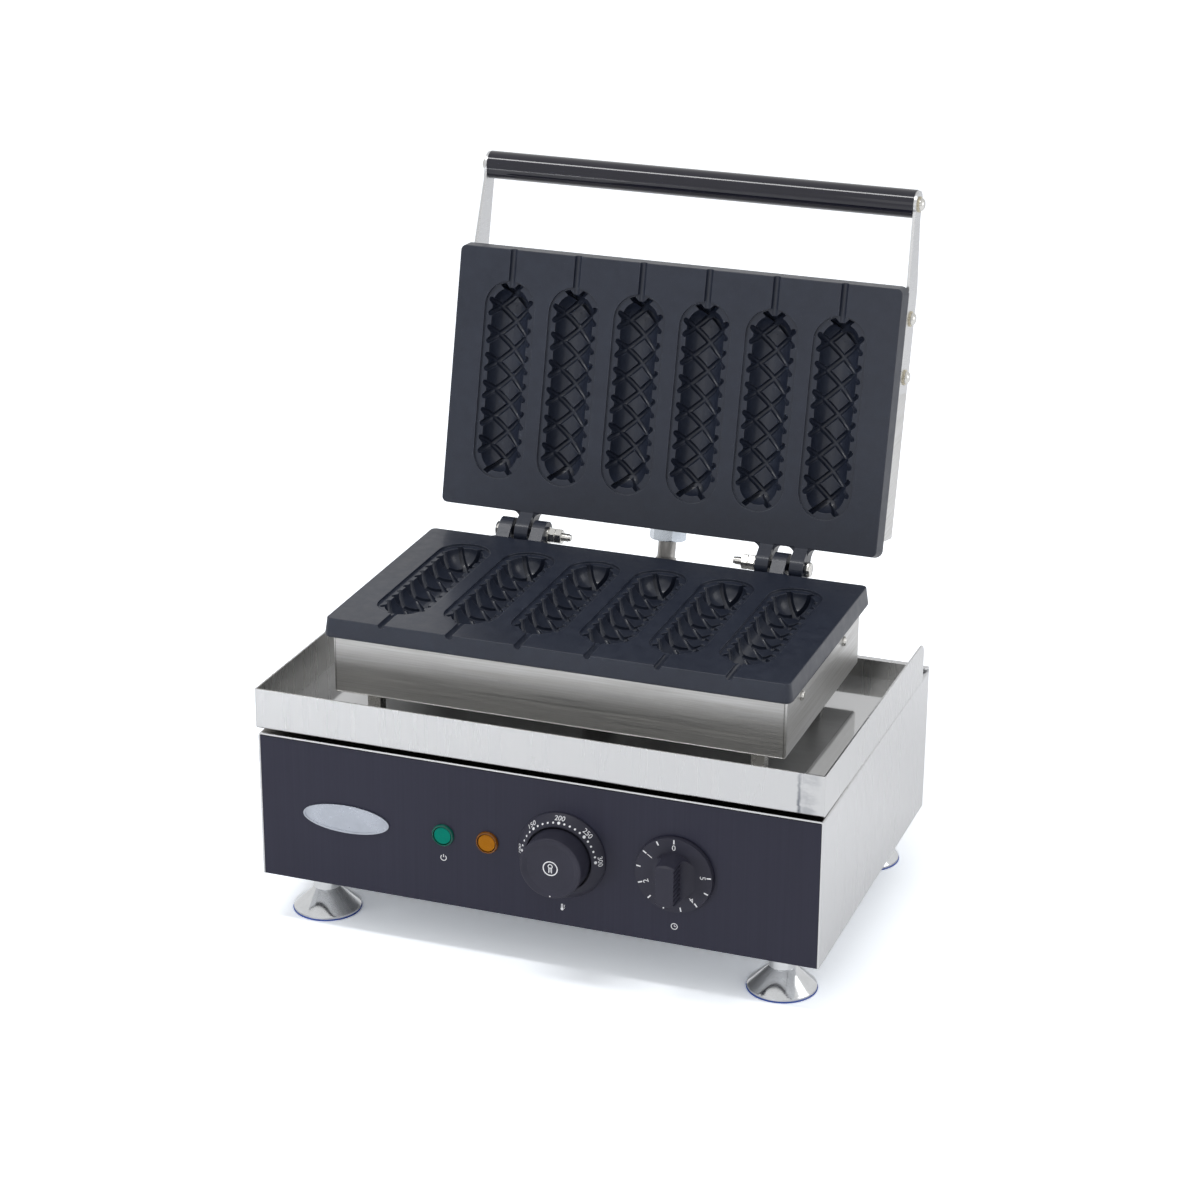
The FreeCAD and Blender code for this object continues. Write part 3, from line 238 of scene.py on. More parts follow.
def brushLines(s, along):
    fine = [820.0, 820.0, 820.0]
    broad = [210.0, 210.0, 210.0]
    fine["XYZ".index(along)] = 12.0
    broad["XYZ".index(along)] = 3.0
    return s.noise(tuple(fine), 3.0, 0.65), s.noise(tuple(broad), 2.0, 0.5)


def steelTone(s, grain, streak):
    base = steelFinish["colour"]
    dull = tuple(channel * steelFinish["shade"] for channel in base)
    return s.tinted(s.spread(0.3, 0.7, streak * 0.35 + grain * 0.65), dull, base)


def steelSurface(s, tone, shine, grain, metal=1.0):
    corner = s.add("Bevel", {"samples": 4}, {"Radius": steelFinish["edge"]})
    s.surface(Base_Color=tone, Metallic=metal, Roughness=shine,
              Normal=s.bumped(grain, 0.3, steelFinish["grain"], corner))


def brushedSteel(name, along, roughness=None):
    material, s = newMaterial(name)
    grain, streak = brushLines(s, along)
    cloud = s.noise((9.0, 9.0, 9.0), 2.0)
    low, high = roughness or steelFinish["roughness"]
    shine = s.spread(0.3, 0.7, grain * 0.6 + streak * 0.2 + cloud * 0.2, low, high)
    steelSurface(s, steelTone(s, grain, streak), shine, grain)
    return material


trayMarksAndShade = {
    "pale": (0.625, 0.63, 0.635),
    "dull": (0.605, 0.61, 0.62),
    "floorShine": (0.06, 0.09),
    "floorHaze": 0.24,
    "floorReach": 8.0 * mm,  # the leaning floor ends below this height over the tray's lowest point
    "wallShine": (0.26, 0.29),
    # painted shade: the tray's inner walls and its underside get these darker tones
    "inside": (0.41, 0.405, 0.39),
    "under": (0.22, 0.21, 0.20),
    "cornerInset": 11.0 * mm,  # ground weld at the front right corner, from the right side
    "cornerHalfWidth": 8.5 * mm,
    "cornerShade": (0.40, 0.41, 0.43),
    "cornerLine": 17.0 * mm,
    "lineHalfWidth": 1.6 * mm,
    "lineShade": (0.09, 0.10, 0.13),
}


def traySteel(name):
    material, s = newMaterial(name)
    low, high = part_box("drip_tray")
    grain, streak = brushLines(s, "Z")
    cloud = s.noise((9.0, 9.0, 9.0), 2.0)
    x, y, z = s.add("SeparateXYZ", None, {0: s.add("TexCoord", take="Object")}, ("X", "Y", "Z"))
    upright = s.tinted(s.spread(0.3, 0.7, grain * 0.5 + streak * 0.5), trayMarksAndShade["dull"], trayMarksAndShade["pale"])
    across, deep, up = s.add("SeparateXYZ", None, {0: s.add("NewGeometry", take="Normal")}, ("X", "Y", "Z"))
    onFloor = (up > 0.7) * (z < low.z + trayMarksAndShade["floorReach"])
    walls = s.spread(0.3, 0.7, streak * 0.5 + cloud * 0.5, *trayMarksAndShade["wallShine"])
    floor = s.spread(0.35, 0.65, cloud, *trayMarksAndShade["floorShine"])
    wander = s.noise((60.0, 60.0, 130.0), 3.0, 0.6)
    drift = (wander - 0.5) * (9.0 * mm)
    plain = s.tinted(onFloor, upright, s.tinted(cloud, trayMarksAndShade["dull"], trayMarksAndShade["pale"]))
    onFront = y < low.y + 1.5 * mm
    ground = s.spread(trayMarksAndShade["cornerHalfWidth"], 3.0 * mm, abs(x - (high.x - trayMarksAndShade["cornerInset"]) + drift))
    patchy = s.spread(0.62, 0.44, wander) * s.spread(high.z, low.z, z, 0.6, 0.9)
    tone = s.tinted(ground * onFront * patchy, plain, trayMarksAndShade["cornerShade"])
    line = s.spread(trayMarksAndShade["lineHalfWidth"], 0.2 * mm, abs(x - (high.x - trayMarksAndShade["cornerLine"]) + drift * 0.6))
    fading = s.spread(high.z, low.z, z, 0.35, 1.0) * s.spread(0.30, 0.48, wander)
    tone = s.tinted(line * onFront * fading, tone, trayMarksAndShade["lineShade"])
    shine = walls + (floor - walls) * onFloor
    # painted shade: walls that face into the tray are darkened, and the underside is darkened for the gap above the
    # deck
    inside = (across * x + deep * (y - (low.y + high.y) / 2)) < -1 * mm
    tone = s.tinted(up < -0.5, s.tinted(inside * 0.8, tone, trayMarksAndShade["inside"]), trayMarksAndShade["under"])
    steelSurface(s, tone, shine, streak * (1 - onFloor) * 0.1, 1 - onFloor * trayMarksAndShade["floorHaze"])
    return material


deckShade = {
    "shade": (0.22, 0.21, 0.20),  # painted shade where the tray covers the deck
    "rim": 1.2 * mm,
}


def shellSteel(name):
    material, s = newMaterial(name)
    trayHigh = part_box("drip_tray")[1]
    low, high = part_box("base_shell")
    grain, streak = brushLines(s, "Z")
    x, y = s.add("SeparateXYZ", None, {0: s.add("TexCoord", take="Object")}, ("X", "Y"))
    up = s.add("SeparateXYZ", None, {0: s.add("NewGeometry", take="Normal")}, "Z")
    # painted shade: the deck under the tray is darkened, deepening the gap below the tray
    shadedUnderTray = (up > 0.9) * (abs(x) < high.x - deckShade["rim"]) * (y < trayHigh.y - 2 * mm)
    shadedUnderTray = shadedUnderTray * (y > low.y + deckShade["rim"])
    shine = s.spread(0.3, 0.7, grain * 0.6 + streak * 0.4, *steelFinish["roughness"])
    steelSurface(s, s.tinted(shadedUnderTray, steelTone(s, grain, streak), deckShade["shade"]), shine, grain)
    return material


housingMarksAndShade = {
    "roughness": (0.32, 0.46),
    "seamInset": 1.6 * mm,
    "seamWidth": 0.5 * mm,
    # the brush grain mixes these two tones; the warm one is darker and browner than the other steels, and is partly
    # painted shade for the housing under the plates
    "pale": (0.68, 0.68, 0.68),
    "warmShade": (0.57, 0.565, 0.55),
}


def housingSteel(name, node):
    material, s = newMaterial(name)
    low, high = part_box(node)
    x = s.add("SeparateXYZ", None, {0: s.add("TexCoord", take="Object")}, "X")
    onEnd = abs(s.add("SeparateXYZ", None, {0: s.add("NewGeometry", take="Normal")}, "X")) > 0.7
    across, deep = brushLines(s, "X"), brushLines(s, "Y")
    grain, streak = [first + (second - first) * onEnd for first, second in zip(across, deep)]
    shine = s.spread(0.38, 0.62, grain * 0.8 + streak * 0.2, *housingMarksAndShade["roughness"])
    seam = abs(abs(x) - (high.x - housingMarksAndShade["seamInset"])) < housingMarksAndShade["seamWidth"] / 2
    tone = s.tinted(s.spread(0.36, 0.64, grain * 0.8 + streak * 0.2), housingMarksAndShade["pale"], housingMarksAndShade["warmShade"])
    steelSurface(s, s.tinted(seam * 0.8, tone, (0.12, 0.115, 0.11)), shine, grain)
    return material


castFinish = {
    "colour": (0.0115, 0.0155, 0.029),
    "worn": (0.018, 0.0235, 0.040),
    "rubbedAndHighlit": (0.085, 0.092, 0.108),  # along outer edges: partly wear, partly painted highlight
    "roughness": (0.38, 0.50),
    "specular": 0.34,
    "sheen": 0.3,
    "edge": 0.7 * mm,
    "lugsBehind": 92.0 * mm,
    "lugsBelow": 229.0 * mm,
    "lugRelief": 0.28 * mm,
}


def castCoating(name):
    material, s = newMaterial(name)
    pebble = s.noise((1500.0, 1500.0, 1500.0), 2.0, 0.6)
    swell = s.noise((120.0, 120.0, 120.0), 3.0, 0.55)
    cloud = s.noise((14.0, 14.0, 14.0), 3.0, 0.6)
    speck = s.noise((2600.0, 2600.0, 2600.0), 1.0)
    tone = s.tinted(s.spread(0.38, 0.66, cloud * 0.5 + swell * 0.5), castFinish["colour"], castFinish["worn"])
    low, high = castFinish["roughness"]
    corner = s.add("Bevel", {"samples": 8}, {"Radius": castFinish["edge"]})
    flat = s.add("VectorMath", {"operation": "DOT_PRODUCT"}, {0: corner, 1: s.add("NewGeometry", take="Normal")}, "Value")
    # partly wear, partly painted highlight: edges found from the bevel normal are lightened
    rubbedAndHighlit = s.spread(0.02, 0.16, 1 - flat) * s.spread(0.42, 0.62, swell)
    tone = s.tinted(rubbedAndHighlit * 0.55, tone, castFinish["rubbedAndHighlit"])
    y, z = s.add("SeparateXYZ", None, {0: s.add("TexCoord", take="Object")}, ("Y", "Z"))
    lugs = (y > castFinish["lugsBehind"]) * (z < castFinish["lugsBelow"])
    casting = s.noise((620.0, 620.0, 620.0), 2.0, 0.6)
    rough = s.bumped(casting * lugs, 0.6, castFinish["lugRelief"], s.bumped(pebble, 0.5, 0.00006, corner))
    s.surface(Base_Color=s.tinted((speck > 0.72) * 0.5, tone, (0.06, 0.066, 0.08)), Metallic=0.0,
              Specular_IOR_Level=castFinish["specular"], Coat_Weight=castFinish["sheen"], Coat_Roughness=0.16,
              Roughness=s.spread(0.3, 0.7, swell, low, high), Normal=s.bumped(swell, 0.25, 0.0003, rough))
    return material


def fasciaFilm(name):
    material, s = newMaterial(name)
    line = s.noise((700.0, 700.0, 6.0), 2.0, 0.6)
    cloud = s.noise((7.0, 7.0, 9.0), 3.0)
    tone = s.tinted(s.spread(0.3, 0.7, line * 0.6 + cloud * 0.4), (0.0145, 0.0148, 0.0305), (0.021, 0.0213, 0.040))
    corner = s.add("Bevel", {"samples": 4}, {"Radius": 0.0004})
    s.surface(Base_Color=tone, Roughness=s.spread(0.3, 0.7, line, 0.36, 0.46), Specular_IOR_Level=0.3,
              Normal=s.bumped(line, 0.25, 0.00003, corner))
    return material


def mouldedPlastic(name, colour, roughness, texture=0.00004, coat=0.0, specular=0.5):
    material, s = newMaterial(name)
    stipple = s.noise((2400.0, 2400.0, 2400.0), 2.0, 0.6)
    cloud = s.noise((40.0, 40.0, 40.0), 2.0)
    pale = tuple(min(1.0, channel * 1.25 + 0.002) for channel in colour)
    corner = s.add("Bevel", {"samples": 4}, {"Radius": 0.0003})
    s.surface(Base_Color=s.tinted(s.spread(0.35, 0.65, cloud * 0.6 + stipple * 0.4), colour, pale),
              Roughness=s.spread(0.3, 0.7, stipple, roughness * 0.9, roughness * 1.1), Coat_Weight=coat,
              Specular_IOR_Level=specular, Coat_Roughness=0.05, Normal=s.bumped(stipple, 0.3, texture, corner))
    return material


def platedMetal(name, colour, roughness, edge=0.0002):
    material, s = newMaterial(name)
    smudge = s.noise((70.0, 70.0, 70.0), 3.0, 0.6)
    tooled = s.noise((1300.0, 1300.0, 1300.0), 2.0)
    dull = tuple(channel * 0.88 for channel in colour)
    corner = s.add("Bevel", {"samples": 4}, {"Radius": edge})
    s.surface(Base_Color=s.tinted(s.spread(0.35, 0.7, smudge), colour, dull), Metallic=1.0,
              Roughness=s.spread(0.3, 0.75, smudge * 0.7 + tooled * 0.3, roughness * 0.7, roughness * 1.5),
              Normal=s.bumped(tooled, 0.1, 0.00002, corner))
    return material


lensFinish = {
    "discRadius": 6.1 * mm,
    "grooveRadius": 6.6 * mm,
    "rimShade": 0.45,
    "cell": 0.85 * mm,
}


def lampLens(name, node, colour, glow):
    material, s = newMaterial(name)
    low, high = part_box(node)
    middle = (low + high) / 2
    x, z = s.add("SeparateXYZ", None, {0: s.add("TexCoord", take="Object")}, ("X", "Z"))
    x, z = x - middle.x, z - middle.z
    reach = (x * x + z * z) ** 0.5
    onDisc = reach < lensFinish["discRadius"]
    turns = math.tau / lensFinish["cell"]
    waves = abs(s.maths("SINE", (x + z) * (turns / 2)) * s.maths("SINE", (x - z) * (turns / 2)))
    cloud = s.noise((300.0, 300.0, 300.0), 2.0)
    onRim = reach > lensFinish["grooveRadius"]
    tone = s.tinted(waves * 0.7 + cloud * 0.3, colour, glow)
    rim = s.tinted(cloud, tuple(c * lensFinish["rimShade"] for c in colour), tuple(c * 0.8 for c in colour))
    # painted shade: the groove between the disc and the rim is darkened to 0.12 of the lens colour
    rimAndShadedGroove = s.tinted(onRim, tuple(c * 0.12 for c in colour), rim)
    corner = s.add("Bevel", {"samples": 6}, {"Radius": 0.35 * mm})
    s.surface(Base_Color=s.tinted(onDisc, rimAndShadedGroove, tone), Roughness=s.spread(0.3, 0.7, cloud, 0.18, 0.26),
              Specular_IOR_Level=0.06, Coat_Weight=onRim * 0.8 + 0.02, Coat_Roughness=0.06,
              Normal=s.bumped(waves * onDisc, 0.4, 0.15 * mm, corner))
    return material


def printInk(name, colour):
    material, s = newMaterial(name)
    patch = s.noise((900.0, 900.0, 900.0), 2.0)
    s.surface(Base_Color=s.tinted(s.spread(0.3, 0.8, patch), colour, tuple(c * 0.86 for c in colour)), Roughness=0.5)
    return material


finishes = {
    "steelUpright": brushedSteel("steelUpright", "Z"),
    "steelAcross": brushedSteel("steelAcross", "X"),
    "tray": traySteel("traySteel"),
    "shell": shellSteel("shellSteel"),
    "lowerHousing": housingSteel("lowerHousingSteel", "lower_housing"),
    "upperHousing": housingSteel("upperHousingSteel", "upper_housing"),
    "steelDeep": brushedSteel("steelDeep", "Y"),
    "cast": castCoating("castCoating"),
    "fascia": fasciaFilm("fasciaFilm"),
    "knob": mouldedPlastic("knobPlastic", (0.021, 0.021, 0.034), 0.5, specular=0.3),
    "hidden": mouldedPlastic("bodyPlastic", (0.03, 0.03, 0.032), 0.55),
    "pale": mouldedPlastic("palePlastic", (0.75, 0.74, 0.71), 0.5),
    "grip": mouldedPlastic("gripPlastic", (0.007, 0.007, 0.014), 0.10, 0.000004, 0.6, 0.25),
    "rubber": mouldedPlastic("softRubber", (0.018, 0.018, 0.018), 0.7),
    "chrome": platedMetal("chromePlate", (0.76, 0.775, 0.79), 0.12),
    "gland": platedMetal("glandPlate", (0.60, 0.65, 0.71), 0.24),
    "zinc": platedMetal("zincPlate", (0.62, 0.61, 0.585), 0.26),
    "brass": platedMetal("washerPlate", (0.66, 0.60, 0.46), 0.28),
    "badge": platedMetal("badgePlate", (0.46, 0.49, 0.55), 0.3),
    "heater": platedMetal("heaterSheath", (0.24, 0.22, 0.21), 0.5),
    "green": lampLens("greenLens", "green_lens", (0.0, 0.13, 0.095), (0.0, 0.26, 0.19)),
    "amber": lampLens("amberLens", "amber_lens", (0.27, 0.09, 0.003), (0.46, 0.19, 0.012)),
    "ink": printInk("whiteInk", (0.82, 0.83, 0.86)),
    "bright": platedMetal("nickelPlate", (0.74, 0.73, 0.70), 0.2),
    "hose": platedMetal("hoseSteel", (0.40, 0.39, 0.375), 0.34),
    "film": mouldedPlastic("liftingFilm", (0.02, 0.06, 0.30), 0.35),
    "fibre": mouldedPlastic("fibreMat", (0.78, 0.77, 0.73), 0.9, 0.0002),
}
print("finishes:", len(finishes))


# The modelled frame's own pieces get their finish

dressing = {
    "steelUpright": ["rear_panel"],
    "shell": ["base_shell"],
    "tray": ["drip_tray"],
    "lowerHousing": ["lower_housing"],
    "upperHousing": ["upper_housing"],
    "steelAcross": ["bottom_plate"],
    "steelDeep": ["left_arm", "right_arm"],
    "cast": ["lower_plate", "upper_plate"],
    "fascia": ["front_fascia"],
    "knob": ["thermostat_dial", "temperature_knob", "timer_knob", "cable_inlet", "cable_inlet_nut"],
    "hidden": ["thermostat_body", "timer_body", "lamp_bodies"],
    "pale": ["terminal_block"],
    "grip": ["handle_grip"],
    "rubber": ["deck_grommet"],
    "chrome": ["foot_front_left", "foot_front_right", "foot_rear_left", "foot_rear_right"],
    "zinc": ["panel_screws", "foot_nuts", "post_bolts", "post_nuts", "tray_spacers", "housing_posts", "wire_sleeve",
             "lower_housing_screws", "upper_housing_screws", "lower_heater_clamp", "upper_heater_clamp",
             "lid_locknut", "thermostat_shaft", "timer_shaft"],
    "gland": ["lid_gland"],
    "bright": ["left_hinge_bolt", "left_hinge_nuts", "right_hinge_bolt", "right_hinge_nuts", "handle_screws"],
    "hose": ["conduit"],
    "brass": ["handle_washers"],
    "badge": ["badge_plate"],
    "heater": ["lower_heater", "upper_heater"],
    "green": ["green_lens"],
    "amber": ["amber_lens"],
    "fibre": ["lower_insulation", "upper_insulation"],
}
for finish, names in dressing.items():
    for name in names:
        if name in nodes:
            nodes[name].data.materials.clear()
            nodes[name].data.materials.append(finishes[finish])
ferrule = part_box("conduit")[1].z + 9.5 * mm
nodes["lid_gland"].data.materials.append(finishes["hose"])
for face in nodes["lid_gland"].data.polygons:
    face.material_index = int(face.center.z < ferrule)
undressed = set(nodes) - {name for names in dressing.values() for name in names}
print("dressed, without a finish:", sorted(undressed))


# Pieces that carry the fine detail; each lies on a piece of the frame, and most hang from an empty named for their body


def newPiece(name, bm, finish, body, crease=35):
    bmesh.ops.recalc_face_normals(bm, faces=bm.faces[:])
    mesh = bpy.data.meshes.new(name)
    bm.to_mesh(mesh)
    bm.free()
    mesh.materials.append(finishes[finish])
    mesh.shade_smooth()
    mesh.set_sharp_from_angle(angle=math.radians(crease))
    piece = bpy.data.objects.new(name, mesh)
    bpy.context.scene.collection.objects.link(piece)
    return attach(piece, body)


def middleOf(node):
    low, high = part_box(node)
    return (low + high) / 2


def addDisc(bm, centre, radius, segments=24):
    place = Matrix.Translation((*centre, 0))
    bmesh.ops.create_circle(bm, cap_ends=True, radius=radius, segments=segments, matrix=place)


def addRing(bm, centre, outer, inner, start=0.0, sweep=360.0, steps=48):
    heading = Vector((math.sin(math.radians(start)), math.cos(math.radians(start)), 0))
    middle = Vector((*centre, 0))
    ends = [bm.verts.new(middle + heading * radius) for radius in (inner, outer)]
    edge = bm.edges.new(ends)
    bmesh.ops.spin(bm, geom=ends + [edge], cent=middle, axis=(0, 0, -1), angle=math.radians(sweep), steps=steps,
                   use_merge=sweep > 359)


def addBar(bm, first, last, width):
    first, last = Vector((*first, 0)), Vector((*last, 0))
    run = last - first
    place = (Matrix.Translation((first + last) / 2) @ Matrix.Rotation(math.atan2(run.y, run.x), 4, "Z")
             @ Matrix.Diagonal((run.length, width, 1, 1)))
    bmesh.ops.create_grid(bm, x_segments=1, y_segments=1, size=0.5, matrix=place)


def lettering(words, height):
    curve = bpy.data.curves.new("lettering", "FONT")
    curve.body = words
    curve.resolution_u = 4
    holder = bpy.data.objects.new("lettering", curve)
    bpy.context.scene.collection.objects.link(holder)
    bpy.context.view_layer.update()
    mesh = bpy.data.meshes.new_from_object(holder.evaluated_get(bpy.context.evaluated_depsgraph_get()))
    bm = bmesh.new()
    bm.from_mesh(mesh)
    bpy.data.objects.remove(holder)
    bpy.data.curves.remove(curve)
    bpy.data.meshes.remove(mesh)
    across = [vert.co.x for vert in bm.verts]
    upwards = [vert.co.y for vert in bm.verts]
    middle = Vector(((min(across) + max(across)) / 2, (min(upwards) + max(upwards)) / 2, 0))
    size = height / (max(upwards) - min(upwards))
    bmesh.ops.translate(bm, verts=bm.verts[:], vec=-middle)
    bmesh.ops.scale(bm, verts=bm.verts[:], vec=(size, size, size))
    return bm


def sliced(bm, step):
    for axis in (0, 1):
        normal = Vector((1 - axis, axis, 0))
        reach = max(abs(vert.co[axis]) for vert in bm.verts)
        cuts = int(reach / step)
        for i in range(-cuts, cuts + 1):
            bmesh.ops.bisect_plane(bm, geom=bm.verts[:] + bm.edges[:] + bm.faces[:], plane_co=normal * (i * step),
                                   plane_no=normal)


def joined(bm, other):
    mesh = bpy.data.meshes.new("joined")
    other.to_mesh(mesh)
    other.free()
    bm.from_mesh(mesh)
    bpy.data.meshes.remove(mesh)


def thickened(bm, thickness):
    bmesh.ops.recalc_face_normals(bm, faces=bm.faces[:])
    bmesh.ops.solidify(bm, geom=bm.faces[:], thickness=thickness)


# Print on the thermostat's domed dial

dialPrint = {
    "labels": ["100", "150", "200", "250", "300"],
    "labelStep": 43.35,  # degrees
    "dotsBetween": 4,
    "dotCircle": 26.1 * mm,
    "labelCircle": 28.7 * mm,
    "labelHeight": 3.5 * mm,
    "smallDot": 0.72 * mm,
    "largeDot": 1.05 * mm,
    "ink": 0.05 * mm,
}
dialFace = [(31.0 * mm, 1.2 * mm), (28.0 * mm, 4.7 * mm), (24.2 * mm, 7.6 * mm)]  # radius and height: rim, shoulder, crest


def circleThrough(points):
    (ax, ay), (bx, by), (cx, cy) = points
    a, b, c = ax * ax + ay * ay, bx * bx + by * by, cx * cx + cy * cy
    twice = 2 * (ax * (by - cy) + bx * (cy - ay) + cx * (ay - by))
    x = (a * (by - cy) + b * (cy - ay) + c * (ay - by)) / twice
    y = (a * (cx - bx) + b * (ax - cx) + c * (bx - ax)) / twice
    return x, y, math.hypot(ax - x, ay - y)


def laidOnDial(bm, turn, radius):
    centreRadius, centreHeight, bow = circleThrough(dialFace)
    middle = math.acos((radius - centreRadius) / bow)
    axis = middleOf("thermostat_dial")
    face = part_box("front_fascia")[0].y
    for vert in bm.verts:
        lean = middle - vert.co.y / bow
        reach = centreRadius + bow * math.cos(lean)
        height = centreHeight + bow * math.sin(lean) + dialPrint["ink"]
        around = math.radians(turn) + vert.co.x / radius
        vert.co = Vector((axis.x + reach * math.sin(around), face - height, axis.z + reach * math.cos(around)))


def makeDialPrint():
    whole = bmesh.new()
    labels = dialPrint["labels"]
    first = -dialPrint["labelStep"] * (len(labels) - 1) / 2
    for i, words in enumerate(labels):
        text = lettering(words, dialPrint["labelHeight"])
        sliced(text, 0.5 * mm)
        laidOnDial(text, first + i * dialPrint["labelStep"], dialPrint["labelCircle"])
        joined(whole, text)
    spaces = dialPrint["dotsBetween"] + 1
    for i in range((len(labels) - 1) * spaces + 1):
        dot = bmesh.new()
        addDisc(dot, (0, 0), dialPrint["smallDot"] if i % spaces else dialPrint["largeDot"])
        laidOnDial(dot, first + i * dialPrint["labelStep"] / spaces, dialPrint["dotCircle"])
        joined(whole, dot)
    thickened(whole, -0.04 * mm)
    return newPiece("dialPrint", whole, "ink", "base")


# Print on flat faces that look to the front

def facingFront(bm, x, y, z, thickness=0.04 * mm):
    turn = Matrix.Translation((x, y - thickness, z)) @ Matrix.Rotation(math.radians(90), 4, "X")
    bmesh.ops.transform(bm, matrix=turn, verts=bm.verts[:])
    bmesh.ops.recalc_face_normals(bm, faces=bm.faces[:])
    bmesh.ops.solidify(bm, geom=bm.faces[:], thickness=-thickness)


knobMark = {
    "circle": 5.3 * mm,
    "line": 0.75 * mm,
    "bulb": 1.75 * mm,
    "bulbHeight": 1.55 * mm,
    "stemFoot": 4.5 * mm,
    "pointerCircle": 20.2 * mm,
    "pointer": 0.5 * mm,
    "dish": 0.7 * mm,
}


def makeKnobMark():
    axis = middleOf("temperature_knob")
    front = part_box("temperature_knob")[0].y
    line = knobMark["line"]
    bm = bmesh.new()
    addRing(bm, (0, 0), knobMark["circle"], knobMark["circle"] - line)
    bulb, height = knobMark["bulb"], knobMark["bulbHeight"]
    addRing(bm, (0, height), bulb, bulb - line * 0.8)
    for side in (-1, 1):
        x = side * (bulb * 0.55)
        addBar(bm, (x, height - bulb * 0.8), (x, -knobMark["stemFoot"] * 0.72), line * 0.75)
    addBar(bm, (0, height - bulb * 0.3), (0, -knobMark["stemFoot"] * 0.6), line * 0.5)
    facingFront(bm, axis.x, front + knobMark["dish"], axis.z)
    pointer = bmesh.new()
    addDisc(pointer, (0, -knobMark["pointerCircle"]), knobMark["pointer"], 16)
    facingFront(pointer, axis.x, front, axis.z)
    joined(bm, pointer)
    return newPiece("knobMark", bm, "ink", "temperature_control")


timerPrint = {
    "digits": 6,
    "step": -55.0,  # degrees from one digit to the next
    "tickEnd": 26.0 * mm,
    "tickLength": 3.0 * mm,
    "tickWidth": 0.95 * mm,
    "digitCircle": 20.3 * mm,
    "digitHeight": 3.9 * mm,
    "faceHeight": 3.6 * mm,
}


def makeTimerPrint():
    axis = middleOf("timer_knob")
    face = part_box("front_fascia")[0].y - timerPrint["faceHeight"]
    whole = bmesh.new()
    for i in range(timerPrint["digits"] * 2 - 1):
        turn = Matrix.Rotation(-math.radians(timerPrint["step"] * i / 2), 4, "Z")
        mark = bmesh.new()
        end = timerPrint["tickEnd"]
        addBar(mark, (0, end - timerPrint["tickLength"]), (0, end), timerPrint["tickWidth"])
        if i % 2 == 0:
            digit = lettering(str(i // 2), timerPrint["digitHeight"])
            bmesh.ops.translate(digit, verts=digit.verts[:], vec=(0, timerPrint["digitCircle"], 0))
            joined(mark, digit)
        bmesh.ops.transform(mark, matrix=turn, verts=mark.verts[:])
        joined(whole, mark)
    facingFront(whole, axis.x, face, axis.z)
    return newPiece("timerPrint", whole, "ink", "timer_control")


pictograms = {
    "height": 5.0 * mm,
    "line": 0.55 * mm,
    "lampDrop": 17.0 * mm,
    "controlDrop": 39.0 * mm,
}


def powerPictogram():
    bm = bmesh.new()
    outer, line = pictograms["height"] * 0.46, pictograms["line"]
    addRing(bm, (0, 0), outer, outer - line, 38, 284, 40)
    addBar(bm, (0, outer * 0.15), (0, outer * 1.15), line)
    return bm


def thermometerPictogram():
    bm = bmesh.new()
    half, line = pictograms["height"] / 2, pictograms["line"]
    bulb = half * 0.42
    addDisc(bm, (0, -half + bulb), bulb)
    addRing(bm, (0, half * 0.72), bulb * 0.62, bulb * 0.62 - line * 0.8, -90, 180, 20)
    for side in (-1, 1):
        x = side * (bulb * 0.62 - line * 0.4)
        addBar(bm, (x, -half + bulb * 1.7), (x, half * 0.74), line * 0.8)
        for i in range(3):
            if side > 0:
                y = half * (0.6 - i * 0.42)
                addBar(bm, (bulb * 1.15, y), (bulb * 1.9, y), line * 0.7)
    return bm


def clockPictogram():
    bm = bmesh.new()
    outer, line = pictograms["height"] * 0.48, pictograms["line"]
    addRing(bm, (0, 0), outer, outer - line)
    addBar(bm, (0, -line * 0.4), (0, outer * 0.62), line * 0.8)
    addBar(bm, (-line * 0.4, 0), (outer * 0.5, 0), line * 0.8)
    return bm


def makePictograms():
    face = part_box("front_fascia")[0].y
    lamp, dial, timer = middleOf("green_lens"), middleOf("thermostat_dial"), middleOf("timer_knob")
    whole = bmesh.new()
    for drawn, x, z in ((powerPictogram(), lamp.x, lamp.z - pictograms["lampDrop"]),
                        (thermometerPictogram(), dial.x, dial.z - pictograms["controlDrop"]),
                        (clockPictogram(), timer.x, timer.z - pictograms["controlDrop"])):
        facingFront(drawn, x, face, z)
        joined(whole, drawn)
    return newPiece("pictograms", whole, "ink", "base")


# Threads on the hinge bolts

thread = {
    "radius": 3.0 * mm,
    "depth": 0.45 * mm,
    "pitch": 1.0 * mm,
    "steps": 24,
    "length": 19.0 * mm,
    "taper": 0.8 * mm,
}


def copyOf(node):
    bm = bmesh.new()
    bm.from_mesh(nodes[node].data)
    bmesh.ops.remove_doubles(bm, verts=bm.verts[:], dist=0.002 * mm)
    return bm


